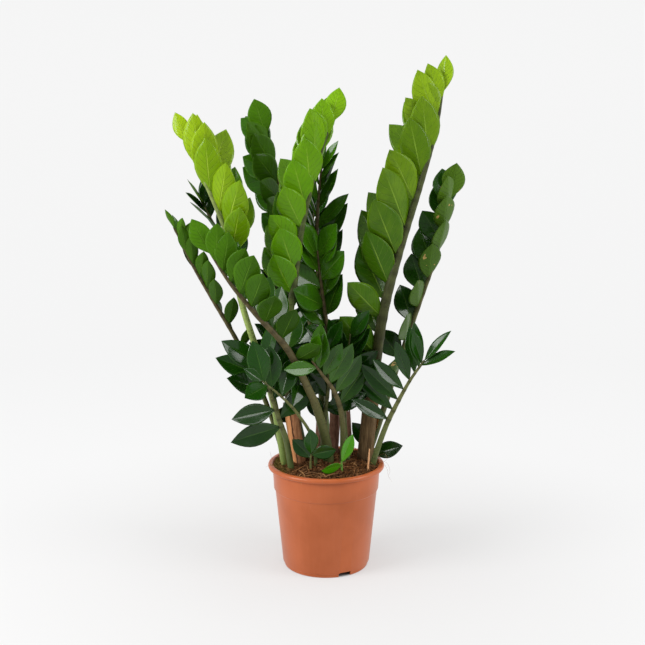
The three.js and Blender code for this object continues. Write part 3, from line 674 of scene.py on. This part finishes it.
def leaflet_form(number):
    """One leaflet of unit length along X and unit width along Y, its upper face towards +Z.
    Its UV map runs along and across it, with 2 added across on the underside."""
    twist, sway, droop, wave = (wobble(number, k) for k in (6, 7, 8, 9))
    work = bmesh.new()
    layer = work.loops.layers.uv.new("blade")

    def surface(s, e, level):
        half = max(half_width(s) * 0.5, ROOT_HALF * (1 - s) ** 6)
        rise = LEAF_CUP * (abs(e) ** 1.3 - 0.4) * half * 2
        rise += 0.009 * math.sin(9 * s + 3 * wave) * e * e * math.copysign(1, e) * math.sin(math.pi * s)
        rise += 0.1 * twist * e * half * s
        rise -= CURL * s * s + 0.02 * droop * s**3
        channel = math.exp(-((e / 0.12) ** 2)) * (1 - s) ** 0.5
        thick = LEAF_THICK * (1 - 0.6 * e**4)
        if level > 0:
            rise += thick / 2 - 0.004 * channel
        elif level < 0:
            rise -= thick / 2 + 0.009 * channel
        return Vector((s, e * half + 0.035 * sway * s * s * (1 - s) * 4, rise))

    top, bottom = [], []
    for s in LEAF_ROWS:
        top.append([work.verts.new(surface(s, e, 1 if abs(e) < 1 else 0)) for e in LEAF_COLUMNS])
        last = len(LEAF_COLUMNS) - 1
        bottom.append([top[-1][j] if j in (0, last) else work.verts.new(surface(s, e, -1))
                       for j, e in enumerate(LEAF_COLUMNS)])
    for side, grid in ((0, top), (1, bottom)):
        for i in range(len(LEAF_ROWS) - 1):
            for j in range(len(LEAF_COLUMNS) - 1):
                cells = [(i, j), (i + 1, j), (i + 1, j + 1), (i, j + 1)]
                cells = cells[::-1] if side else cells
                face = work.faces.new([grid[a][b] for a, b in cells])
                for loop, (a, b) in zip(face.loops, cells):
                    loop[layer].uv = (LEAF_ROWS[a], (LEAF_COLUMNS[b] + 1) / 2 + 2 * side)
    weld(work, 1e-5)
    cap(work)
    return written(work, f"leaflet form {number}")


STEM_POINTS = 70
STEM_SIDES = 18
KNOT_REACH = 0.9
# What the plan's points carry: the kind of value, and what a point has that isn't given one.
CARRIED = {
    "girth": ("FLOAT", 0.001), "climb": ("FLOAT", 0.0), "knot": ("FLOAT", 0.0), "leafy": ("BOOLEAN", False),
    "turn": ("FLOAT_VECTOR", (0.0, 0.0, 0.0)), "size": ("FLOAT_VECTOR", (1.0, 1.0, 1.0)),
    "form": ("INT", 0), "age": ("FLOAT", 0.0), "tone": ("FLOAT", 0.0),
}


def frond_plan(frond):
    """The points and edges of the stem, and a loose point for each leaflet, with what they carry."""
    leaflets = leaflets_of(frond)
    points = []
    for i in range(STEM_POINTS + 1):
        t = i / STEM_POINTS
        spans = [(t - place.t) * STEM_POINTS / KNOT_REACH for place in leaflets]
        knot = max(math.exp(-(span**2)) for span in spans)
        girth = girth_at(frond, t) * (1 + 0.1 * knot)
        points.append(dict(at=on_stem(frond, t)[0], girth=girth, climb=t, knot=knot))
    for place in leaflets:
        along, across, normal = place.along, place.across, place.normal
        across = across if along.cross(across).dot(normal) > 0 else -across
        turn = Matrix((along, across, normal)).transposed().to_euler("XYZ")
        length = place.length * LEAF_SHARE
        points.append(dict(
            at=place.root, leafy=True, turn=tuple(turn), size=(length, length * frond.slim, length),
            form=place.n % LEAF_FORMS, age=place.q, tone=wobble(place.n, 10)))
    mesh = bpy.data.meshes.new(frond.name + " plan")
    mesh.from_pydata([point["at"] for point in points], [(i, i + 1) for i in range(STEM_POINTS)], [])
    for name, (kind, blank) in CARRIED.items():
        values = [point.get(name, blank) for point in points]
        if kind == "FLOAT_VECTOR":
            mesh.attributes.new(name, kind, "POINT").data.foreach_set("vector", [x for v in values for x in v])
        else:
            mesh.attributes.new(name, kind, "POINT").data.foreach_set("value", values)
    return mesh


# The kinds of frond: the slot, then what stem_finish and leaflet_finish take after their names.
KINDS = {
    "tall": ("frond_light", ((0.04, 0.03, 0.01), (0.085, 0.105, 0.03), (0.02, 0.02, 0.007)), (
        ((0.018, 0.075, 0.001), (0.22, 0.42, 0.006)), ((0.036, 0.105, 0.001), (0.27, 0.44, 0.008)),
        (0.26, 0.42, 0.04), 0.34, 0.5, 0.0, 1.5)),
    "lime": ("frond_light", ((0.055, 0.045, 0.018), (0.1, 0.14, 0.03), (0.02, 0.022, 0.008)), (
        ((0.022, 0.1, 0.001), (0.18, 0.38, 0.004)), ((0.08, 0.23, 0.001), (0.17, 0.36, 0.003)),
        (0.28, 0.46, 0.04), 0.34, 0.5)),
    "bright": ("frond_light", ((0.17, 0.24, 0.06), (0.34, 0.44, 0.12), (0.12, 0.15, 0.04)), (
        ((0.03, 0.12, 0.001), (0.36, 0.54, 0.01)), ((0.12, 0.25, 0.001), (0.34, 0.5, 0.006)),
        (0.42, 0.58, 0.06), 0.32, 0.45)),
    "mid": ("frond_mid", ((0.065, 0.09, 0.022), (0.12, 0.095, 0.038), (0.035, 0.028, 0.011)), (
        ((0.008, 0.042, 0.001), (0.045, 0.16, 0.002)), ((0.022, 0.066, 0.002), (0.06, 0.17, 0.003)),
        (0.12, 0.25, 0.02), 0.28, 0.2)),
    "dark": ("frond_dark", ((0.065, 0.105, 0.028), (0.13, 0.14, 0.045), (0.03, 0.03, 0.01)), (
        ((0.005, 0.032, 0.001), (0.01, 0.058, 0.002)), ((0.015, 0.054, 0.002), (0.06, 0.13, 0.006)),
        (0.07, 0.17, 0.02), 0.24, 0.15)),
    "marked": ("frond_dark", ((0.06, 0.08, 0.025), (0.1, 0.1, 0.035), (0.03, 0.03, 0.01)), (
        ((0.008, 0.038, 0.002), (0.018, 0.08, 0.003)), ((0.036, 0.085, 0.005), (0.065, 0.14, 0.007)),
        (0.08, 0.17, 0.02), 0.26, 0.3, 0.9)),
    "fresh": ("frond_light", ((0.1, 0.22, 0.04), (0.12, 0.28, 0.04), (0.05, 0.12, 0.02)), (
        ((0.04, 0.2, 0.001), (0.08, 0.32, 0.003)), ((0.05, 0.2, 0.002), (0.1, 0.3, 0.004)),
        (0.22, 0.42, 0.04), 0.3, 0.3)),
}


def make_fronds():
    finishes = {}
    for kind, (_, stem, leaflet) in KINDS.items():
        finishes[kind] = dict(
            Stem=stem_finish(kind + " stem", *stem), Leaflet=leaflet_finish(kind + " leaflet", *leaflet))
    forms = forms_collection("leaflet form", [leaflet_form(i) for i in range(LEAF_FORMS)])
    tree = frond_tree()
    seed = 1
    for frond in FRONDS:
        frond.seed = seed
        seed += frond.pairs * 2 + 1
        frond.stem = metres(frond.path)
        plan = new_object("plan", frond_plan(frond))
        mesh = tree.grow(plan, Forms=forms, Sides=STEM_SIDES, **finishes[frond.leafy])
        bpy.data.objects.remove(plan)
        mesh.name = frond.name + " leaflets"
        seat(new_object("leafy_" + frond.name, mesh), KINDS[frond.leafy][0], frond.name)
    clear_away(forms)


# ---- pot
RIM_R, RIM_TOP = 95 * MM, 172 * MM
COLLAR_R, COLLAR_TOP = 87.5 * MM, 164 * MM
COLLAR_FOOT_R, COLLAR_FOOT = 85.6 * MM, 130.5 * MM
BODY_TOP_R, BODY_TOP = 83.4 * MM, 128 * MM
BODY_FOOT_R = 71.4 * MM
FOOT_R, FOOT_TOP = 68.6 * MM, 6.5 * MM
WALL = 1.7 * MM
FLOOR_Z = 6 * MM
PAD_R = 14 * MM
NOTCHES = (-64.5, 55.5, 175.5)
NOTCH_WIDE, NOTCH_HIGH = 21 * MM, 8 * MM
POT_SIDES = 144


def arc(centre, radius, start, stop, steps):
    """Points on an arc of the pot's profile; angles in degrees, radius one number or two."""
    rx, rz = radius if isinstance(radius, tuple) else (radius, radius)
    angles = [math.radians(mix(start, stop, i / steps)) for i in range(steps + 1)]
    return [(centre[0] + rx * math.cos(a), centre[1] + rz * math.sin(a)) for a in angles]


def pot_profile():
    return [
        (0, 0), (PAD_R, 0), (PAD_R + MM, FLOOR_Z), (FOOT_R - WALL - MM, FLOOR_Z),
        (FOOT_R - WALL - MM, 0.3 * MM), (FOOT_R - WALL - 0.7 * MM, 0), (FOOT_R - 0.5 * MM, 0),
        (FOOT_R, 0.5 * MM), (FOOT_R + 0.8 * MM, FOOT_TOP - MM), (FOOT_R + 1.4 * MM, FOOT_TOP - 0.5 * MM),
        (BODY_FOOT_R - 0.3 * MM, FOOT_TOP), (BODY_FOOT_R, FOOT_TOP + 0.6 * MM),
        (BODY_TOP_R, BODY_TOP), (BODY_TOP_R + 0.3 * MM, BODY_TOP + 0.7 * MM),
        (COLLAR_FOOT_R - 0.4 * MM, COLLAR_FOOT - 0.5 * MM), (COLLAR_FOOT_R, COLLAR_FOOT + 0.3 * MM),
        (COLLAR_R, COLLAR_TOP - 0.8 * MM), (COLLAR_R + 0.8 * MM, COLLAR_TOP),
        *arc((RIM_R - 3.6 * MM, RIM_TOP - 4 * MM), (3.6 * MM, 4 * MM), -80, 90, 10),
        (COLLAR_R + 0.6 * MM, RIM_TOP - 0.2 * MM), (COLLAR_R - 0.6 * MM, RIM_TOP - 1.2 * MM),
        (COLLAR_R - WALL, RIM_TOP - 3 * MM), (COLLAR_FOOT_R - WALL, COLLAR_FOOT),
        (BODY_TOP_R - WALL, BODY_TOP), (BODY_FOOT_R - WALL, FLOOR_Z + WALL), (0, FLOOR_Z + WALL),
    ]


def notch_cutter():
    """A block with round upper corners that cuts a drain notch through the foot, towards -Y."""
    corner = 2.5 * MM
    outline = [(-NOTCH_WIDE / 2, -MM), (NOTCH_WIDE / 2, -MM)]
    outline += arc((NOTCH_WIDE / 2 - corner, NOTCH_HIGH - corner), corner, 0, 90, 6)
    outline += arc((corner - NOTCH_WIDE / 2, NOTCH_HIGH - corner), corner, 90, 180, 6)
    rows = [[(x, -y, z) for x, z in outline] for y in (FOOT_R - 10 * MM, FOOT_R + 6 * MM)]
    return ring_mesh("notch", rows, capped=True)


def make_pot():
    obj = new_object("nursery_pot", ring_mesh("nursery pot", lathe(pot_profile(), POT_SIDES)))
    cutters = []
    for azimuth in NOTCHES:
        mesh = notch_cutter()
        mesh.transform(Matrix.Rotation(math.radians(azimuth + 90), 4, "Z"))
        cutters.append(new_object("cutter", mesh))
        cut = obj.modifiers.new("drain notch", "BOOLEAN")
        cut.operation, cut.solver, cut.object = "DIFFERENCE", "EXACT", cutters[-1]
    depsgraph = bpy.context.evaluated_depsgraph_get()
    mesh = bpy.data.meshes.new_from_object(obj.evaluated_get(depsgraph), depsgraph=depsgraph)
    obj.modifiers.clear()
    obj.data = mesh
    for cutter in cutters:
        bpy.data.objects.remove(cutter)
    soften(mesh, 32)
    mesh.materials.clear()
    mesh.materials.append(pot_finish())
    seat(obj, "pot", "pot")


# ---- soil
SOIL_EDGE = 169.5 * MM
SOIL_MOUND = 9.5 * MM
SOIL_R = 85.2 * MM
SOIL_GAP = 0.6 * MM
SOIL_SIDES, SOIL_RINGS = 160, 56
PATCH_SIDES, PATCH_RINGS = 48, 20
# Loose bits: shape, how many of the shape, bits for each square metre, smallest and largest size,
# tilt, seed, and the two tones.
STREWN = {
    "soil_crumbs": ("crumb", 5, 46000.0, 0.0018, 0.0066, 1.6, 3, ((0.025, 0.011, 0.005), (0.24, 0.115, 0.05))),
    "coir_fibres": ("fibre", 6, 60000.0, 0.007, 0.022, 0.5, 8, ((0.06, 0.023, 0.008), (0.32, 0.135, 0.045))),
    "straw_fibres": ("fibre", 6, 5000.0, 0.014, 0.032, 0.6, 21, ((0.28, 0.12, 0.04), (0.64, 0.36, 0.16))),
}


def soil_height(x, y):
    """The height of the soil: a low mound with lumps and crumbs."""
    r = min(1.0, math.hypot(x, y) / SOIL_R)
    point = Vector((x, y, 0))
    lumps = noise.noise(point * 55) * 3.4 + noise.noise(point * 150) * 2.6 + noise.noise(point * 420) * 1.2
    base = SOIL_EDGE + SOIL_MOUND * (1 - r * r) ** 1.2
    return base + MM * lumps * (1 - 0.5 * r**6)


def soil_top(rings, sides):
    def lifted(r, angle):
        x, y = r * math.cos(angle), r * math.sin(angle)
        return x, y, soil_height(x, y)

    return [[lifted(SOIL_R * (i / rings), angle) for angle in rounds(sides)] for i in range(rings + 1)]


def crumb(number):
    """A lump of potting mix, about one unit across."""
    work = bmesh.new()
    bmesh.ops.create_icosphere(work, subdivisions=1, radius=0.5)
    for vert in work.verts:
        vert.co *= 1 + 0.45 * noise.noise(vert.co * 2.3 + Vector((number * 7.1, 0, 0)))
    return written(work, f"crumb {number}")


def fibre(number):
    """A curved strand of coir, one unit long, three-sided."""
    rows = []
    steps = 7
    for i in range(steps + 1):
        s = i / steps
        x = s - 0.5
        y = 0.22 * wobble(number, 3) * math.sin(math.pi * s) + 0.06 * math.sin(7 * s + number)
        z = 0.16 * abs(wobble(number, 4)) * math.sin(math.pi * s)
        thick = 0.022 * (1 - 0.75 * abs(2 * s - 1) ** 2)
        rows.append([(x, y + thick * math.cos(a), z + thick * math.sin(a)) for a in (0.5, 2.6, 4.7)])
    return ring_mesh(f"fibre {number}", rows, merge=1e-5, capped=True)


def make_soil():
    profile = [(0, FLOOR_Z + WALL + 0.4 * MM), (BODY_FOOT_R - WALL - SOIL_GAP, FLOOR_Z + WALL + 0.4 * MM),
               (BODY_TOP_R - WALL - SOIL_GAP, BODY_TOP), (COLLAR_FOOT_R - WALL - SOIL_GAP, COLLAR_FOOT)]
    rows = lathe(profile, SOIL_SIDES) + soil_top(SOIL_RINGS, SOIL_SIDES)[::-1]
    ground = new_object("potting_soil", ring_mesh("potting soil", rows),
                        soil_finish("potting soil", (0.016, 0.007, 0.003), (0.19, 0.085, 0.035)))
    soften(ground.data, 80)
    seat(ground, "soil", "soil")

    patch = new_object("soil surface", ring_mesh("soil surface", soil_top(PATCH_RINGS, PATCH_SIDES)))
    face_up(patch.data)
    tree = scatter_tree()
    for name, (shape, count, amount, smallest, largest, tilt, seed, tones) in STREWN.items():
        form = {"crumb": crumb, "fibre": fibre}[shape]
        bits = forms_collection(shape, [form(i) for i in range(count)])
        mesh = tree.grow(patch, Bits=bits, Amount=amount, Smallest=smallest, Largest=largest, Tilt=tilt,
                         Seed=seed, Finish=soil_finish(name.replace("_", " "), *tones, scale=420.0))
        mesh.name = name
        seat(new_object(name, mesh), "soil")
        clear_away(bits)
    bpy.data.objects.remove(patch)


# ---- sheaths and stub
# Name, the frond that it wraps, foot and top in millimetres, where its opening looks, how far it
# reaches round in degrees, and its finish.
SHEATHS = [
    ("sheath_left", "frond_centre_light", 164, 274, 60, 250, "orange"),
    ("sheath_right", "frond_right_tall", 164, 288, 120, 220, "dark"),
    ("sheath_centre_dark", "frond_centre_dark", 166, 262, 100, 250, "pink"),
    ("sheath_centre_low", "frond_centre_low", 166, 258, 70, 250, "pink"),
    ("sheath_centre_back", "frond_left_mid", 166, 250, 90, 250, "pink"),
]
SHEATH_STEPS, SHEATH_FACETS = 34, 44
SHEATH_GAP = 1.05 * MM
SHEATH_WALL = 1 * MM
SHEATH_INSIDE = 0.35 * SHEATH_WALL
SHEATH_FLARE = 1.4 * MM
STEM_FACET = 0.951


def place_at_height(frond, z):
    low, high = 0.0, 1.0
    for _ in range(24):
        middle = (low + high) / 2
        if on_path(frond.stem, middle).z < z:
            low = middle
        else:
            high = middle
    return low


# What sheath_finish takes after its name.
DRY = {
    "orange": ([(0.0, (0.04, 0.012, 0.005)), (0.3, (0.22, 0.085, 0.038)), (0.5, (0.46, 0.2, 0.09)),
                (0.75, (0.7, 0.37, 0.18))], (0.138, 0.0194, (0.86, 0.38, 0.15))),
    "dark": ([(0.0, (0.014, 0.008, 0.003)), (0.36, (0.07, 0.04, 0.016)), (0.56, (0.155, 0.098, 0.042)),
              (0.8, (0.3, 0.2, 0.1))],),
    "pink": ([(0.0, (0.03, 0.013, 0.008)), (0.36, (0.16, 0.075, 0.045)), (0.56, (0.31, 0.155, 0.1)),
              (0.8, (0.46, 0.26, 0.18))],),
}


def make_sheaths():
    finishes = {dry: sheath_finish(dry + " sheath", *row) for dry, row in DRY.items()}
    for number, (name, on, foot, top, opens, wrap, dry) in enumerate(SHEATHS):
        frond = next(one for one in FRONDS if one.name == on)
        opening = Vector((math.cos(math.radians(opens)), math.sin(math.radians(opens)), 0))
        rows = []
        for i in range(SHEATH_STEPS + 1):
            rise = i / SHEATH_STEPS
            outer, inner = [], []
            for j in range(SHEATH_FACETS + 1):
                turn = math.radians(wrap * (j / SHEATH_FACETS - 0.5))
                torn = 9 * noise.noise(Vector((j * 0.32, number * 5.0, 0)))
                torn += 3 * noise.noise(Vector((j * 1.3, number * 5.0, 3)))
                t = place_at_height(frond, MM * mix(foot, top + torn, rise))
                point, run, _, _ = on_stem(frond, t)
                back = (opening - run * opening.dot(run)).normalized()
                ripple = 0.35 * math.sin(turn * 9 + number + 2 * rise) * math.sin(math.pi * min(1, rise * 1.2))
                ripple += 0.3 * noise.noise(Vector((turn * 4, rise * 6, number)))
                radius = (girth_at(frond, t) + SHEATH_GAP) / STEM_FACET
                radius += SHEATH_FLARE * rise * rise + ripple * MM
                look = -back * math.cos(turn) - run.cross(back) * math.sin(turn)
                outer.append(point + look * (radius + SHEATH_WALL))
                inner.append(point + look * (radius + SHEATH_INSIDE))
            rows.append(outer + inner[::-1])
        mesh = ring_mesh(name, rows)
        work = bmesh.new()
        work.from_mesh(mesh)
        work.verts.ensure_lookup_table()
        wide = 2 * (SHEATH_FACETS + 1)
        for start, flip in ((0, False), (SHEATH_STEPS * wide, True)):
            for j in range(SHEATH_FACETS):
                corners = [work.verts[start + k] for k in (j, j + 1, wide - 2 - j, wide - 1 - j)]
                work.faces.new(corners[::-1] if flip else corners)
        bmesh.ops.recalc_face_normals(work, faces=work.faces)
        soften(written(work, mesh), 50)
        seat(new_object("papery_" + name, mesh, finishes[dry]), "sheath", name)


STUB = [(66, -40, 150), (67, -41, 178), (69, -42, 206)]


def make_stub():
    """The dry end of an old stem, with a swollen joint and a frayed tip."""

    def edge(t, angle):
        girth = MM * (mix(2.2, 1.6, t * 2) if t < 0.5 else mix(1.6, 1.0, t * 2 - 1))
        girth *= 1 + 0.22 * math.exp(-(((t - 0.74) / 0.03) ** 2))
        girth *= 1 + 0.12 * noise.noise(Vector((angle, t * 4, 1)))
        return Vector((math.cos(angle), math.sin(angle), 0)) * girth

    mesh = tube("dry stub", metres(STUB), 26, 14, edge)
    soften(mesh, 60)
    straw = sheath_finish("dry straw", [
        (0.0, (0.1, 0.04, 0.02)), (0.4, (0.5, 0.24, 0.1)), (0.8, (0.85, 0.5, 0.26))])
    seat(new_object("dry_stem_stub", mesh, straw), "sheath", "dry_stub")


# Single strands that stick out of the soil or hang over the rim: their points and half their width.
STRANDS = [
    ([(-78, -34, 172), (-84, -40, 184), (-88, -38, 193), (-90, -42, 203)], 0.22),
    ([(-74, -40, 172), (-80, -50, 180), (-90, -52, 182), (-97, -50, 178)], 0.25),
    ([(-60, -56, 171), (-68, -66, 180), (-76, -66, 188)], 0.3),
    ([(82, -20, 170), (90, -24, 180), (99, -24, 176), (103, -22, 164), (101, -20, 154)], 0.22),
    ([(80, -10, 170), (88, -8, 186), (96, -12, 188), (99, -14, 181), (95, -12, 176)], 0.22),
    ([(84, -28, 170), (92, -34, 178), (98, -36, 170), (100, -34, 158), (106, -32, 148)], 0.2),
    ([(-20, -78, 170), (-14, -84, 176), (-8, -92, 174), (-6, -97, 168)], 0.3),
    ([(-34, -66, 172), (-22, -74, 178), (-10, -76, 175), (2, -82, 172)], 0.45),
    ([(48, 18, 176), (44, 8, 184), (50, -2, 190), (58, -6, 184)], 0.35),
    ([(14, -58, 174), (6, -68, 182), (-4, -70, 180)], 0.4),
]


def make_strands():
    """The single strands, each a thin tube that tapers to its end."""
    straw = soil_finish("loose strands", (0.22, 0.11, 0.05), (0.62, 0.4, 0.22), scale=420.0)
    for number, (points, half) in enumerate(STRANDS):
        def edge(t, angle):
            flat = 0.7 * math.sin(angle)
            return Vector((math.cos(angle), flat, flat)) * (half * MM * (1 - 0.6 * t))

        mesh = tube(f"strand {number}", metres(points), 14, 5, edge)
        soften(mesh, 80)
        seat(new_object(f"loose_strand_{number}", mesh, straw), "soil")


SCRAP = [(70, 14, 196), (74, 12, 214), (80, 8, 230), (84, 4, 246)]
SCRAP_WIDE = 9.5 * MM
SCRAP_THICK = 0.4 * MM


def make_scrap():
    """A curled, torn scrap of dead sheath that stands off behind the low frond at the right."""
    path = metres(SCRAP)
    steps, columns = 22, 9
    rows = []
    for i in range(steps + 1):
        t = i / steps
        across = Vector((0.85, -0.5, 0)).normalized()
        out = run_at(path, t, 0.02).cross(across).normalized()
        half = SCRAP_WIDE * 0.5 * math.sin(math.pi * (0.12 + 0.8 * t)) ** 0.8
        faces = {1: [], -1: []}
        for j in range(columns):
            e = 2 * j / (columns - 1) - 1
            ragged = 1 + 0.25 * noise.noise(Vector((t * 7, math.copysign(2, e), 4)))
            curl = 0.0022 * (1 - e * e) + 0.0008 * noise.noise(Vector((e * 2, t * 5, 9)))
            for level in faces:
                aside = across * (e * half * ragged) + out * (curl + level * SCRAP_THICK / 2)
                faces[level].append(on_path(path, t) + aside)
        rows.append(faces[1] + faces[-1][::-1])
    mesh = ring_mesh("torn scrap", rows, capped=True)
    soften(mesh, 60)
    rust = sheath_finish("rusty scrap", [
        (0.0, (0.05, 0.016, 0.003)), (0.4, (0.28, 0.11, 0.02)), (0.8, (0.52, 0.25, 0.07))])
    seat(new_object("torn_scrap", mesh, rust), "sheath")


# ---- studio
PHOTO = 645
FOCAL_PX = 1013.0
CAMERA = Vector((-6, -1600, 673)) * MM
TILT = 0.167
FLOOR_R, SWEEP_R, WALL_TOP = 1.9, 1.0, 3.4
LIT_POINT = Vector((0, 0, 0.4))


def make_studio():
    data = bpy.data.cameras.new("camera")
    data.sensor_width = 36
    data.lens = FOCAL_PX / PHOTO * data.sensor_width
    data.clip_end = 100
    camera = new_object("camera", data)
    camera.location = CAMERA
    camera.rotation_euler = (math.pi / 2 - TILT, 0, 0)
    bpy.context.scene.camera = camera

    # The paper sweep glows: painted light that stands in for the studio's light, brightest behind the pot and
    # low down, dimmer in front and up the front wall.
    made = Finish("white paper")
    place = made.place()
    depth, height = made.part(place, "Y"), made.part(place, "Z")
    reach = made.add("ShaderNodeVectorMath", {"operation": "LENGTH"}, {"Vector": place}, output="Value")
    # Painted shade: near the pot the paper glows less, a darker pool round it; it is also paler there, so that
    # the real shadows show on it.
    near = reach.between(0.8, 0.1)
    lit = reach.between(0.063, 0.071)  # the paper gives no light under the pot
    dim = height.between(0.05, 0.8) * depth.between(1.4, -0.4) * 0.6
    glow = made.blend(depth.between(-1.7, -0.35) * (1.0 - dim), (0.37, 0.37, 0.37), (0.82, 0.82, 0.82))
    paper = made.surface(
        Base_Color=made.blend(near, (0.1, 0.1, 0.1), (0.28, 0.28, 0.28)),
        Roughness=0.9, Specular_IOR_Level=0.0,
        Emission_Color=made.blend(lit, (0.0, 0.0, 0.0), made.blend(near, glow, (0.51, 0.505, 0.502))),
        Emission_Strength=1.0)
    profile = [(0.0, 0.0), (FLOOR_R * 0.5, 0.0)]
    profile += arc((FLOOR_R, SWEEP_R), SWEEP_R, -90, 0, 20) + [(FLOOR_R + SWEEP_R, WALL_TOP)]
    sweep = ring_mesh("sweep", lathe(profile, 96))
    soften(sweep, 60)
    face_up(sweep)
    new_object("paper_sweep", sweep, paper)

    world = bpy.data.worlds.new("studio")
    bpy.context.scene.world = world
    world.use_nodes = True
    sky = world.node_tree.nodes["Background"].inputs
    sky["Color"].default_value = (0.93, 0.96, 1.0, 1)
    sky["Strength"].default_value = 0.15

    def softbox(name, location, size, power):
        light = bpy.data.lights.new(name, "AREA")
        light.shape, light.size, light.energy = "SQUARE", size, power
        obj = new_object(name, light)
        obj.location = location
        obj.rotation_euler = (LIT_POINT - obj.location).to_track_quat("-Z", "Y").to_euler()

    softbox("left box", (-1.9, -1.0, 1.3), 1.15, 46)
    softbox("right box", (1.9, -0.8, 1.2), 1.1, 28)
    softbox("top box", (-0.3, -0.4, 2.5), 1.4, 24)
    bpy.context.scene.view_settings.view_transform = "Standard"


make_studio()
make_pot()
make_soil()
make_fronds()
make_sheaths()
make_stub()
make_strands()
make_scrap()
